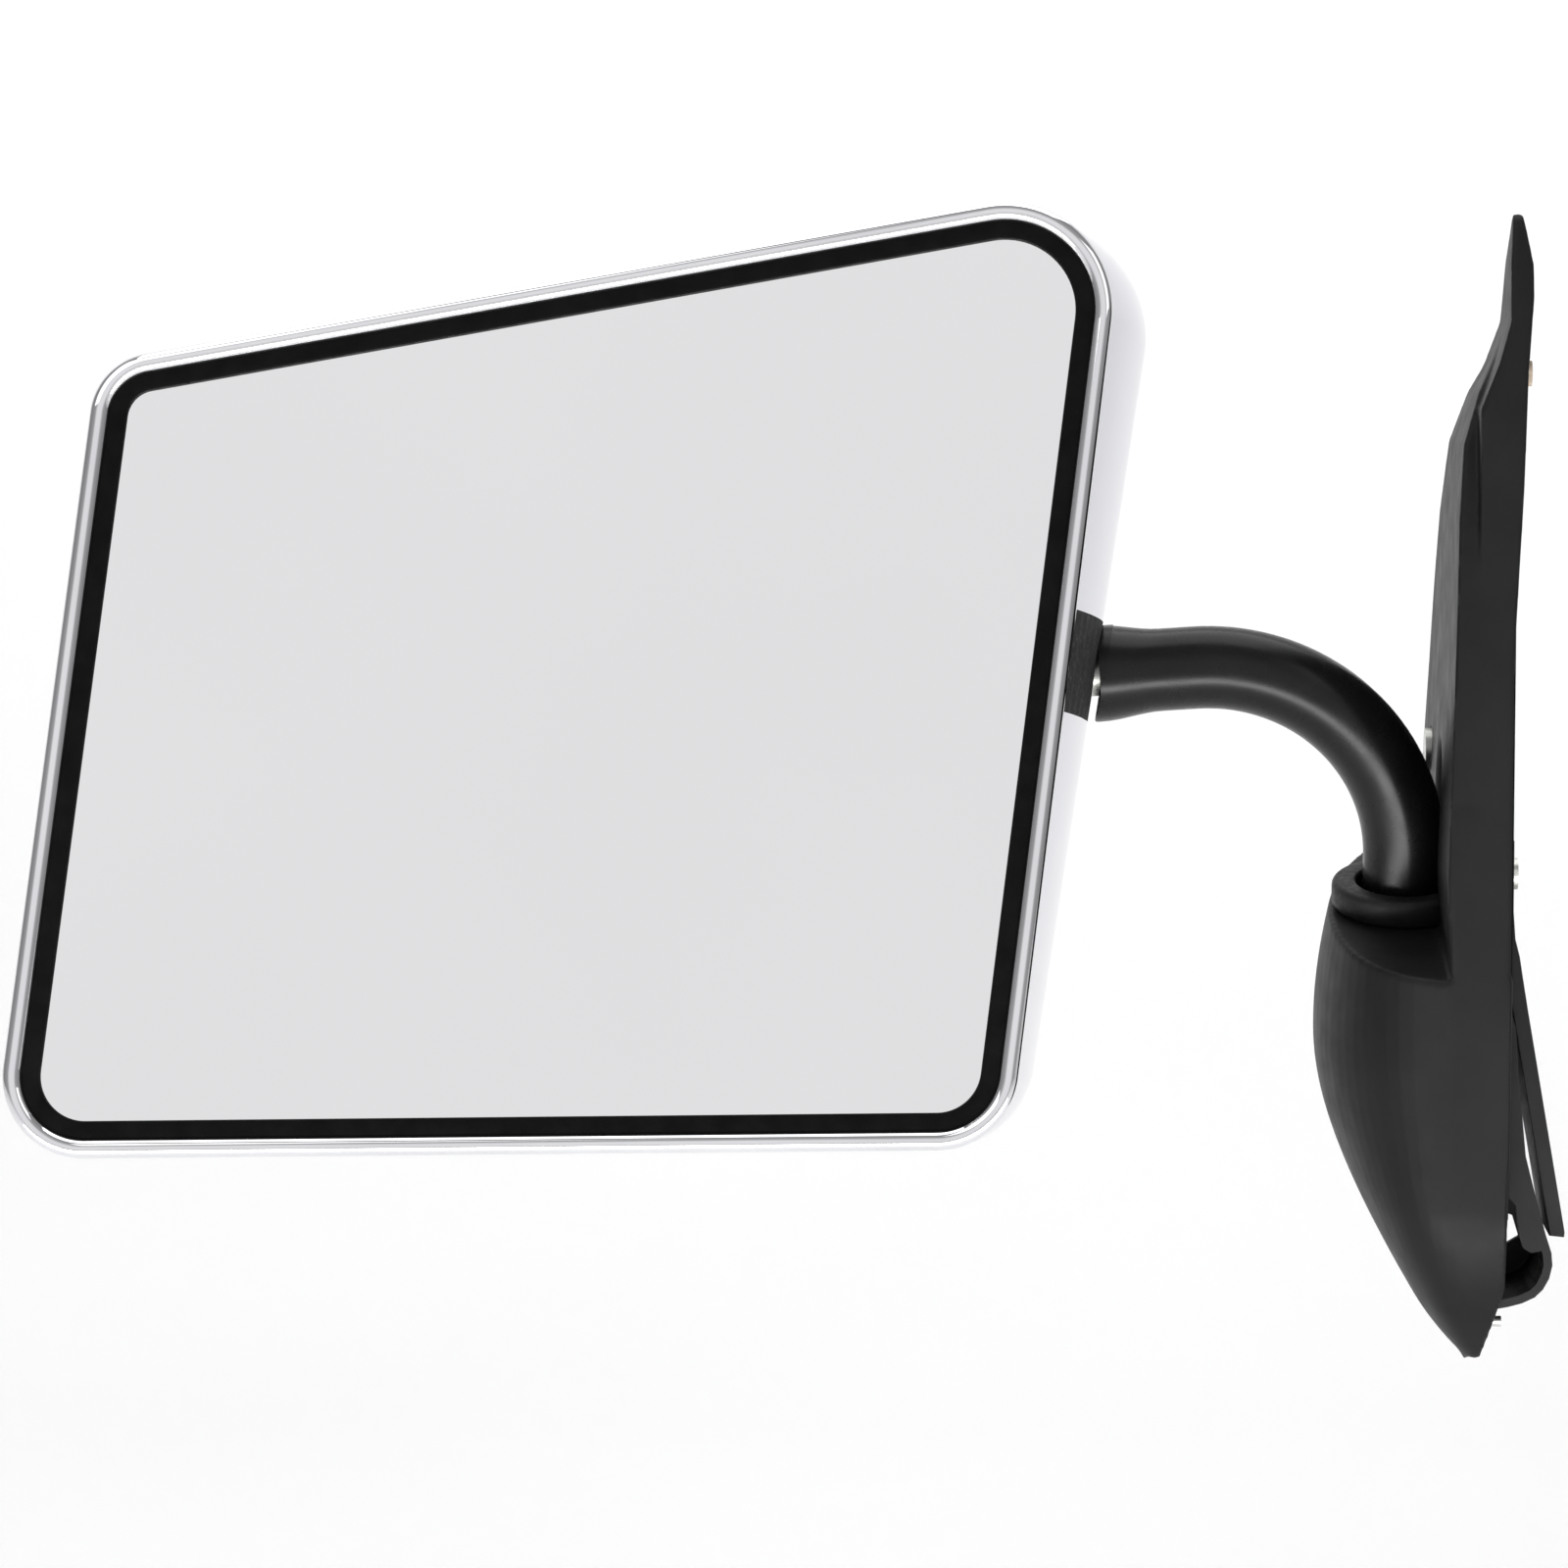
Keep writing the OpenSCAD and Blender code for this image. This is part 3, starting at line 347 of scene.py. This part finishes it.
REAR_Y = -42                        # the cover's flat rear face
RIM_X = -0.6                        # the rim, just off the door's face
OPEN_X = 6                          # past the open side, towards the door
COVER_WALL = 2.5
LEAF_OUTLINE = [(-36, 134), (-41, 112), (-42, 60), (-42, -20), (-40, -58), (-33, -80), (-24, -92), (-10, -92),
                (20, -78), (46, -52), (59, -20), (58, 14), (42, 52), (16, 88), (-14, 116), (-28, 130)]
BODY_OUTLINE = [(-42, -24), (20, -24), (48, -12), (45, 18), (32, 52), (12, 82), (-8, 104), (-22, 110),
                (-31, 102), (-38.5, 84), (-42, 58), (-42, 20)]
LEAF_PROFILE = [(-6.7, -98), (-6.7, -91), (-4.8, -86), (-3, -79), (RIM_X, -74), (RIM_X, 45), (0.2, 62.6),
                (1.1, 81.6), (1.7, 104), (2.7, 119), (2.6, 125), (0.3, 137), (-1.2, 137), (-1.8, 125),
                (-1.8, 114), (-4, 106), (-7.5, 97), (-7.5, -98)]
BODY_PROFILE = [(RIM_X, -24), (RIM_X, 112), (-3, 109), (-7.4, 100), (-10.4, 90), (-11.3, 76), (-11.6, 62),
                (-11.9, 43), (-12.5, 24), (-12.9, 5), (-12.2, -10), (-11.5, -24)]

# The housing below the arm: its sizes, and how each edge draws in further down it
WIDEST_Z, REACH, REACH_ROUND = -29, 36.8, 37
SLOPE_ABOVE, SLOPE_BELOW = 0.4, 0.75
HOUSING_FRONT, FRONT_X = 48, 3
FLANK_X, FLANK_LEAN = 12.6, 0.03
FULLNESS, REAR_TURN = 0.8, 0.2
HOUSING_END = -92
SECTION_STEPS = 33
DRAWN_IN = {                        # amount, height where it starts, run, power
    "rear": (18, -60, 36, 2),
    "front": (64, -15, 81, 2.2),
    "flank": (2.5, -60, 32, 2),
    "rim": (5.2, -76, 20, 1),
    "tip": (2.2, -80, 12, 2),
}

# The recess that the rubber ring and the arm's foot stand in
SEAT_R, SEAT_TOP, SEAT_FLAT = 14.9, 1.6, -7.7
LEG_R, LEG_TOP = 9.9, 24
BORE_HALF = 5

# The hollow inside
SAIL_SKIN_X = -5                    # the hollow stops here under the thin leaf
BODY_HOLLOW_TOP, LEAF_HOLLOW_TOP = 97, 94
HOLLOW_END = -82

# Screw bosses, and holes along X: centre in y and z, radius, start and end
COVER_SCREW_AT = [(-28, 72), (38, 8), (2, -66)]
BOSS_R, BOSS_END = 4, -4.6
FAR_OUT, FAR_IN = -60, 9
HOLES = [(at, 1.5, -9.5, FAR_IN) for at in COVER_SCREW_AT]
HOLES += [((-20, -85.8), 1.1, -7, FAR_IN), ((-35, 104), 2.5, 0.7, FAR_IN), ((21, 26), 4.4, FAR_OUT, -11.2)]

# Edge rounding and blends of the field, and its grid
ROUND, RECESS_ROUND = 0.7, 0.8
LEAF_BLEND, HOUSING_BLEND = 0.6, 1.6
STEP = 0.6
X, Y, Z = np.arange(-39.5, 5.5, STEP), np.arange(-44, 63, STEP), np.arange(-94.5, 139, STEP)
GX, GY, GZ = X[:, None, None], Y[None, :, None], Z[None, None, :]
UP = -GY * math.sin(FOLD_LEAN) + GZ * math.cos(FOLD_LEAN)
ACROSS = GY * math.cos(FOLD_LEAN) + GZ * math.sin(FOLD_LEAN)
FROM_AXIS = np.sqrt((GX + PIVOT_OUT) ** 2 + ACROSS ** 2)


def smooth_loop(p, n=5):
    """A Catmull-Rom curve through a closed loop of points, n to a stretch."""
    p = np.asarray(p, float)
    out = []
    for k in range(len(p)):
        a, b, c, d = p[k - 1], p[k], p[(k + 1) % len(p)], p[(k + 2) % len(p)]
        for t in np.arange(n) / n:
            bend, twist = 2 * a - 5 * b + 4 * c - d, 3 * b - a - 3 * c + d
            out.append(0.5 * (2 * b + (c - a) * t + bend * t ** 2 + twist * t ** 3))
    return np.array(out)


def polygon_distance(poly, u, v):
    """Signed distance from points (u, v) to a closed polygon, negative inside."""
    best = np.full(np.broadcast(u, v).shape, 1e9)
    inside = np.zeros(best.shape, bool)
    poly = np.asarray(poly, float)
    for a, b in zip(poly, np.roll(poly, -1, axis=0)):
        e = b - a
        wu, wv = u - a[0], v - a[1]
        t = np.clip((wu * e[0] + wv * e[1]) / max(e @ e, 1e-12), 0, 1)
        best = np.minimum(best, (wu - t * e[0]) ** 2 + (wv - t * e[1]) ** 2)
        if a[1] != b[1]:
            inside ^= ((a[1] > v) != (b[1] > v)) & (u < e[0] * (v - a[1]) / e[1] + a[0])
    return np.where(inside, -1, 1) * np.sqrt(best)


def smooth_max(a, b, r):
    """Intersection of two fields with an edge rounded to about radius r."""
    h = np.maximum(r - np.abs(a - b), 0) / r
    return np.maximum(a, b) + h * h * r * 0.25


def smooth_min(a, b, r):
    """Union of two fields with a fillet of about radius r."""
    return -smooth_max(-a, -b, r)


def all_of(*fields):
    """What lies inside every one of the fields."""
    return reduce(np.maximum, fields)


def any_of(*fields):
    """What lies inside at least one of the fields."""
    return reduce(np.minimum, fields)


def seen_from_side(outline):
    """A rounded outline in y and z, carried right through in x."""
    return polygon_distance(smooth_loop(outline), Y[:, None], Z[None, :])[None, :, :]


def seen_from_rear(profile):
    """A profile in x and z, carried right through in y."""
    return polygon_distance(profile, X[:, None], Z[None, :])[:, None, :]


def drawn_in(edge, z):
    """How far an edge of the housing has drawn in at height z."""
    amount, start, run, power = DRAWN_IN[edge]
    return amount * (max(0, start - z) / run) ** power


def housing_loop(z, wall):
    """The housing's level section at height z, in x and y, less a wall."""
    away = abs(z - WIDEST_Z)
    slope = SLOPE_ABOVE if z > WIDEST_Z else SLOPE_BELOW
    reach = REACH - slope * (math.hypot(away, REACH_ROUND) - REACH_ROUND)
    rear = REAR_Y + drawn_in("rear", z) + wall
    front = HOUSING_FRONT - drawn_in("front", z) - wall
    tip = drawn_in("tip", z)
    flank = FLANK_X + FLANK_LEAN * z - drawn_in("flank", z) - wall - tip
    inner = OPEN_X if wall > 0 else RIM_X - drawn_in("rim", z)
    bulge = reach - tip - wall - (flank + FRONT_X) / 2
    loop = [(inner, rear)]
    for u in np.linspace(0, 1, SECTION_STEPS):
        out = bulge * math.sin(math.pi * u) ** FULLNESS
        along = rear + (front - rear) * (1 - math.cos(math.pi * u)) / 2
        loop.append((-(flank + (FRONT_X - flank) * u + out), along + REAR_TURN * out * (1 - u)))
    loop.append((inner, front))
    return np.array(loop)


def housing_field(wall):
    """The housing's sections stacked up its height."""
    return np.stack([polygon_distance(housing_loop(z, wall), X[:, None], Y[None, :]) for z in Z], 2)


def pivot_recess(grow):
    """The ring's seat and the way up it for the arm's foot, made larger by `grow`."""
    floor = TOP_FACE - grow - UP
    seat = all_of(FROM_AXIS - SEAT_R - grow, UP - SEAT_TOP - grow, floor, GX - SEAT_FLAT - grow)
    leg = all_of(FROM_AXIS - LEG_R - grow, UP - LEG_TOP, floor)
    dome = np.sqrt(FROM_AXIS ** 2 + (UP - LEG_TOP) ** 2) - LEG_R - grow
    return any_of(seat, leg, dome)


def rod(at, r, x0, x1):
    """A round rod along X."""
    return all_of(np.sqrt((GY - at[0]) ** 2 + (GZ - at[1]) ** 2) - r, x0 - GX, GX - x1)


def cover_outside():
    """The thin leaf, the thicker sail body on it and the housing, all cut at one rear face."""
    rear_face = REAR_Y - GY
    leaf = smooth_max(seen_from_side(LEAF_OUTLINE), seen_from_rear(LEAF_PROFILE), ROUND)
    body = smooth_max(seen_from_side(BODY_OUTLINE), seen_from_rear(BODY_PROFILE), ROUND)
    sail = smooth_min(smooth_max(leaf, rear_face, ROUND), smooth_max(body, rear_face, ROUND), LEAF_BLEND)
    housing = smooth_max(smooth_max(housing_field(0), UP - TOP_FACE, ROUND), HOUSING_END - GZ, ROUND)
    return all_of(smooth_min(sail, housing, HOUSING_BLEND), rear_face)


def cover_hollow():
    """The space inside, a wall in from the outside and clear of the pivot's recess."""
    rear_wall = REAR_Y + COVER_WALL - GY
    under = [(OPEN_X if x > SAIL_SKIN_X else x + COVER_WALL, min(z, BODY_HOLLOW_TOP))
             for x, z in BODY_PROFILE]
    leaf = all_of(seen_from_side(LEAF_OUTLINE) + COVER_WALL, SAIL_SKIN_X - GX, rear_wall, HOLLOW_END - GZ,
                  GZ - LEAF_HOLLOW_TOP)
    body = all_of(seen_from_side(BODY_OUTLINE) + COVER_WALL, seen_from_rear(under), rear_wall)
    housing = all_of(housing_field(COVER_WALL), UP - TOP_FACE + COVER_WALL, HOLLOW_END - GZ)
    return any_of(all_of(any_of(leaf, body), -pivot_recess(COVER_WALL)), housing)


def cover_field():
    """The moulding as one distance field on the grid, negative inside its walls."""
    bosses = any_of(*[rod(at, BOSS_R, FAR_OUT, BOSS_END) for at in COVER_SCREW_AT])
    bore = all_of(FROM_AXIS - LEG_R, TOP_FACE - BORE_HALF - UP, UP - TOP_FACE - BORE_HALF)
    solid = all_of(cover_outside(), any_of(-cover_hollow(), bosses))
    solid = smooth_max(solid, -pivot_recess(0), RECESS_ROUND)
    return all_of(solid, -bore, *[-rod(*hole) for hole in HOLES])


def edge_ends(field, axis):
    """The field at the two ends of every grid edge along an axis."""
    first, second = [slice(None)] * 3, [slice(None)] * 3
    first[axis], second[axis] = slice(0, -1), slice(1, None)
    return field[tuple(first)], field[tuple(second)]


def moved(cells, axes, steps):
    """Grid cells moved by a step along each of the axes."""
    out = cells.copy()
    out[:, list(axes)] += steps
    return out


def net_points(field):
    """One point per cell that the surface passes through, at the mean of its edge crossings."""
    size = np.array(field.shape) - 1
    total, count = np.zeros((*size, 3)), np.zeros(size)
    for axis in range(3):
        a, b = edge_ends(field, axis)
        cross = (a < 0) != (b < 0)
        edges = np.argwhere(cross)
        spots = edges.astype(float)
        spots[:, axis] += a[cross] / (a[cross] - b[cross])
        others = [k for k in range(3) if k != axis]
        for steps in product((0, -1), repeat=2):
            cells = moved(edges, others, steps)
            ok = np.all((cells >= 0) & (cells < size), 1)
            where = tuple(cells[ok].T)
            np.add.at(total, where, spots[ok])
            np.add.at(count, where, 1)
    used = count > 0
    number = np.full(count.shape, -1)
    number[used] = np.arange(used.sum())
    return total[used] / count[used][:, None], number


def net_faces(field, number):
    """A quad round every grid edge that the surface crosses, facing outward."""
    inside = field < 0
    quads = []
    for axis in range(3):
        a, b = edge_ends(inside, axis)
        edges = np.argwhere(a != b)
        u, v = (axis + 1) % 3, (axis + 2) % 3
        edges = edges[(edges[:, u] > 0) & (edges[:, v] > 0)]
        round_edge = [moved(edges, (u, v), steps) for steps in ((-1, -1), (0, -1), (0, 0), (-1, 0))]
        quad = np.stack([number[tuple(cells.T)] for cells in round_edge], 1)
        leaving = inside[tuple(edges.T)]
        quad[~leaving] = quad[~leaving][:, ::-1]
        quads.append(quad)
    return np.concatenate(quads)


def build_cover():
    """The cover's skin, inside and out, from its distance field."""
    field = cover_field()
    cells, number = net_points(field)
    return mesh_object("cover_moulding", [X[0], Y[0], Z[0]] + cells * STEP, net_faces(field, number), 50)


# ---------------------------------------------------------------- materials

def node_material(name):
    """A material with an empty Principled shader, and the coordinate that its patterns use."""
    mat = bpy.data.materials.new(name)
    mat.use_nodes = True
    tree = mat.node_tree
    tree.nodes.clear()
    out = tree.nodes.new("ShaderNodeOutputMaterial")
    shader = tree.nodes.new("ShaderNodeBsdfPrincipled")
    tree.links.new(shader.outputs["BSDF"], out.inputs["Surface"])
    coord = tree.nodes.new("ShaderNodeTexCoord")
    return mat, tree, shader, coord.outputs["Object"]


def noise(tree, coord, scale, detail=3, rough=0.5):
    node = tree.nodes.new("ShaderNodeTexNoise")
    node.inputs["Scale"].default_value = scale
    node.inputs["Detail"].default_value = detail
    node.inputs["Roughness"].default_value = rough
    tree.links.new(coord, node.inputs["Vector"])
    return node.outputs["Fac"]


def ramp(tree, fac, stops):
    node = tree.nodes.new("ShaderNodeValToRGB")
    els = node.color_ramp.elements
    while len(els) < len(stops):
        els.new(0.5)
    for el, (pos, colour) in zip(els, stops):
        el.position = pos
        el.color = (*colour, 1)
    tree.links.new(fac, node.inputs["Fac"])
    return node.outputs["Color"]


def spread(tree, fac, low, high):
    """Noise, which seldom leaves 0.3 to 0.7, stretched from low to high."""
    node = tree.nodes.new("ShaderNodeMapRange")
    node.inputs["From Min"].default_value = 0.3
    node.inputs["From Max"].default_value = 0.7
    node.inputs["To Min"].default_value = low
    node.inputs["To Max"].default_value = high
    tree.links.new(fac, node.inputs["Value"])
    return node.outputs["Result"]


def bump(tree, shader, height, strength, distance):
    node = tree.nodes.new("ShaderNodeBump")
    node.inputs["Strength"].default_value = strength
    node.inputs["Distance"].default_value = distance
    tree.links.new(height, node.inputs["Height"])
    tree.links.new(node.outputs["Normal"], shader.inputs["Normal"])


def finish_of(name, dark, light, rough, metallic=0, tones=60, grain=900, strength=0.2, depth=0.00005,
              specular=0.5):
    """A procedural finish: two near tones, a roughness spread and a fine bump."""
    mat, tree, shader, coord = node_material(name)
    tone = ramp(tree, noise(tree, coord, tones), [(0.35, dark), (0.65, light)])
    tree.links.new(tone, shader.inputs["Base Color"])
    tree.links.new(spread(tree, noise(tree, coord, tones * 3), *rough), shader.inputs["Roughness"])
    shader.inputs["Metallic"].default_value = metallic
    shader.inputs["Specular IOR Level"].default_value = specular
    bump(tree, shader, noise(tree, coord, grain), strength, depth)
    return mat


def speckled(name, dark, light, rough):
    """Black rubber with fine pale specks."""
    mat, tree, shader, coord = node_material(name)
    grain = noise(tree, coord, scale=1400, detail=4, rough=0.7)
    tree.links.new(ramp(tree, grain, [(0.56, dark), (0.7, light)]), shader.inputs["Base Color"])
    tree.links.new(spread(tree, noise(tree, coord, scale=700), *rough), shader.inputs["Roughness"])
    bump(tree, shader, grain, strength=0.5, distance=0.0001)
    return mat


def grey(v, blue=0.0):
    return (v, v, v + blue)


MATS = {
    "chrome": finish_of("chrome_plate", grey(0.71, 0.04), grey(0.74, 0.04), (0.035, 0.07), metallic=1,
                        tones=12, grain=160, strength=0.04, depth=0.0001),
    "chrome_trim": finish_of("chrome_rim", grey(0.78, 0.02), grey(0.84, 0.02), (0.03, 0.07), metallic=1,
                             tones=30, grain=300, strength=0.04, depth=0.0001),
    "mirror": finish_of("mirror_silver", grey(0.86, 0.005), grey(0.88, 0.005), (0.02, 0.035), metallic=1,
                        tones=8, grain=60, strength=0.01, depth=0.00002),
    "gasket_rubber": finish_of("gasket_black", grey(0.0015), grey(0.003), (0.4, 0.55),
                               tones=200, grain=1500, strength=0.3, specular=0.06),
    "grommet_rubber": speckled("grommet_black", grey(0.006), grey(0.11), (0.6, 0.8)),
    "ring_rubber": finish_of("ring_black", grey(0.006), grey(0.011), (0.42, 0.6),
                             tones=300, grain=1500, strength=0.35, specular=0.25),
    "foam": finish_of("foam_sheet", (0.45, 0.36, 0.28), (0.6, 0.5, 0.4), (0.8, 0.95),
                      tones=400, grain=2500, strength=0.6),
    "nylon": finish_of("nylon_natural", (0.78, 0.75, 0.66), (0.86, 0.84, 0.77), (0.35, 0.5),
                       tones=80, grain=900, strength=0.1),
    "fibre": finish_of("fibre_resin", (0.32, 0.2, 0.1), (0.5, 0.34, 0.2), (0.6, 0.8),
                       tones=500, grain=1500, strength=0.5),
    "plated_steel": finish_of("steel_plated", grey(0.5), (0.62, 0.62, 0.58), (0.28, 0.45), metallic=1,
                              tones=90, grain=900, strength=0.15),
    "zinc": finish_of("zinc_bright", grey(0.6), (0.72, 0.72, 0.68), (0.22, 0.4), metallic=1,
                      tones=120, grain=1200, strength=0.2),
    "spring_steel": finish_of("steel_spring", grey(0.24), grey(0.36, 0.02), (0.3, 0.45), metallic=1,
                              tones=120, grain=1200, strength=0.15),
    "cast_zinc": finish_of("zinc_cast", grey(0.42), grey(0.52, 0.01), (0.45, 0.65), metallic=1,
                           tones=90, grain=700, strength=0.5),
    "arm_paint": finish_of("arm_black", grey(0.003), grey(0.005), (0.24, 0.3),
                           tones=60, grain=700, strength=0.08, specular=0.25),
    "bracket_paint": finish_of("bracket_black", grey(0.003), grey(0.006), (0.36, 0.48),
                               tones=90, grain=800, strength=0.3, specular=0.2),
    "cover_plastic": finish_of("cover_black", grey(0.005), grey(0.007), (0.42, 0.52),
                               tones=50, grain=1300, strength=0.25, specular=0.16),
}

# ---------------------------------------------------------------- pieces

# Sections of the bezel's bead and of the gasket, as (offset from the face's outline, depth)
BEAD = [(-0.8, BEZEL_BACK), (-0.8, -35.8), (-0.15, -35.8), (0, -35.95), (0, -39), (0, -42)]
BEAD += arc(-1.9, -42.1, 1.9, 0, -180, 17)[1:]
BEAD += [(-3.8, -41.3), (-3.7, -41.2), (-1.5, -41.2), (-1.4, -41.1), (-1.4, BEZEL_BACK)]
GASKET = [(-3.8, -42.4), (-6.6, -42.4), (-7.1, -42.2), (-7.3, -41.8), (-7.3, -41.4), (-5.5, -41.4),
          (-5.5, -36.6), (-1.4, -36.6), (-1.4, -41.2), (-3.8, -41.2)]


def place(obj, body, slot, node):
    """Gives a piece its finish and its body, and hides the CAD node that it stands for."""
    obj.data.materials.clear()
    obj.data.materials.append(MATS[slot])
    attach(obj, body)
    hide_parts(node)


def soften(obj):
    """Small rounded edges on a CAD sheet-metal part, as bending and paint leave them."""
    weld = obj.modifiers.new("weld", "WELD")
    weld.merge_threshold = 0.02 * MM
    edge = obj.modifiers.new("soft_edges", "BEVEL")
    edge.width = 0.4 * MM
    edge.segments = 3
    edge.limit_method = "ANGLE"
    edge.angle_limit = math.radians(40)


for part in frame["record"]["subparts"]:
    for holder in frame["nodes"][part["node"]].material_slots:
        holder.link = "OBJECT"
        holder.material = MATS[part["material_slot"]]

soften(frame["nodes"]["door_strap"])
soften(frame["nodes"]["door_tongue"])

place(build_shell(), "head", "chrome", "head_shell")
place(face_sweep("bezel_rim", BEAD), "head", "chrome_trim", "head_bezel")
place(face_sweep("gasket_channel", GASKET), "head", "gasket_rubber", "glass_gasket")
place(build_arm(), "arm", "arm_paint", "arm_tube")
place(build_ring(), "base", "ring_rubber", "pivot_ring")
place(build_cover(), "base", "cover_plastic", "base_cover")

# ---------------------------------------------------------------- stage, light and camera, in metres

AIM = Vector((-0.145, 0, 0.02))
AZIMUTH, ELEVATION = math.radians(3), math.radians(5)
DISTANCE, LENS, SENSOR = 1.1, 123.75, 36
FLOOR_Z, PAPER_GLOW = -0.32, 0.14
PAPER_HALF, PAPER_NEAR, PAPER_FAR, PAPER_TOP, PAPER_BEND = 3.0, -3.0, 1.6, 3.0, 0.6
ROOM_TONES = [(0.0, 0.45), (0.35, 0.3), (0.5, 0.25), (0.85, 0.38), (0.95, 0.85), (1.0, 0.86)]


def stage_sweep():
    """A pale floor that curves up into a backdrop."""
    line = [(PAPER_NEAR, FLOOR_Z), (0, FLOOR_Z)]
    line += arc(PAPER_FAR - PAPER_BEND, FLOOR_Z + PAPER_BEND, PAPER_BEND, -90, 0, 16)
    line += [(PAPER_FAR, PAPER_TOP)]
    pts = [(x / MM, y / MM, z / MM) for y, z in line for x in (-PAPER_HALF, PAPER_HALF)]
    faces = [(2 * k, 2 * k + 1, 2 * k + 3, 2 * k + 2) for k in range(len(line) - 1)]
    obj = mesh_object("floor_sweep", pts, faces, 60)
    paper = finish_of("pale_floor", grey(0.86), grey(0.88), (0.85, 0.95), tones=2, grain=60, strength=0.02)
    shader = next(n for n in paper.node_tree.nodes if n.type == "BSDF_PRINCIPLED")
    shader.inputs["Emission Color"].default_value = (1, 1, 1, 1)
    shader.inputs["Emission Strength"].default_value = PAPER_GLOW
    obj.data.materials.append(paper)


def area_light(name, at, size, power, toward=tuple(AIM)):
    """A soft rectangular light at a place, turned toward another."""
    data = bpy.data.lights.new(name, "AREA")
    data.shape = "RECTANGLE"
    data.size, data.size_y = size
    data.energy = power
    obj = bpy.data.objects.new(name, data)
    obj.location = at
    obj.rotation_euler = (Vector(toward) - Vector(at)).to_track_quat("-Z", "Y").to_euler()
    bpy.context.scene.collection.objects.link(obj)


def soft_room():
    """A pale room, brightest straight behind the viewer and dimmer to the sides."""
    world = bpy.data.worlds.new("soft_room")
    world.use_nodes = True
    tree = world.node_tree
    coord = tree.nodes.new("ShaderNodeTexCoord")
    split = tree.nodes.new("ShaderNodeSeparateXYZ")
    tree.links.new(coord.outputs["Generated"], split.inputs["Vector"])
    turn = tree.nodes.new("ShaderNodeMapRange")
    turn.inputs["From Min"].default_value = 1
    turn.inputs["From Max"].default_value = -1
    tree.links.new(split.outputs["Y"], turn.inputs["Value"])
    tones = ramp(tree, turn.outputs["Result"], [(at, (v, v, v * 1.01)) for at, v in ROOM_TONES])
    tree.links.new(tones, tree.nodes["Background"].inputs["Color"])
    bpy.context.scene.world = world


def set_camera():
    """A long lens that looks at the mirror's middle from a little to its right and above it."""
    level = math.cos(ELEVATION)
    look = Vector((-math.sin(AZIMUTH) * level, math.cos(AZIMUTH) * level, -math.sin(ELEVATION)))
    right = Vector((math.cos(AZIMUTH), math.sin(AZIMUTH), 0))
    above = right.cross(look)
    data = bpy.data.cameras.new("camera")
    data.lens = LENS
    data.sensor_width = SENSOR
    camera = bpy.data.objects.new("camera", data)
    turn = Matrix((right, above, -look)).transposed()
    camera.matrix_world = Matrix.Translation(AIM - look * DISTANCE) @ turn.to_4x4()
    bpy.context.scene.collection.objects.link(camera)
    bpy.context.scene.camera = camera


stage_sweep()
area_light("key_left", (-1.3, -1.1, 1.4), (1.6, 1.6), 9)
area_light("fill_right", (1.2, -0.9, 0.9), (1.0, 1.0), 3)
area_light("top", (-0.1, 0.3, 1.6), (1.6, 1.6), 16)
area_light("low_front", (-0.1, -0.45, -0.29), (1.2, 0.16), 7, (-0.1, 0, 0.05))
soft_room()
set_camera()
bpy.context.scene.view_settings.view_transform = "Standard"
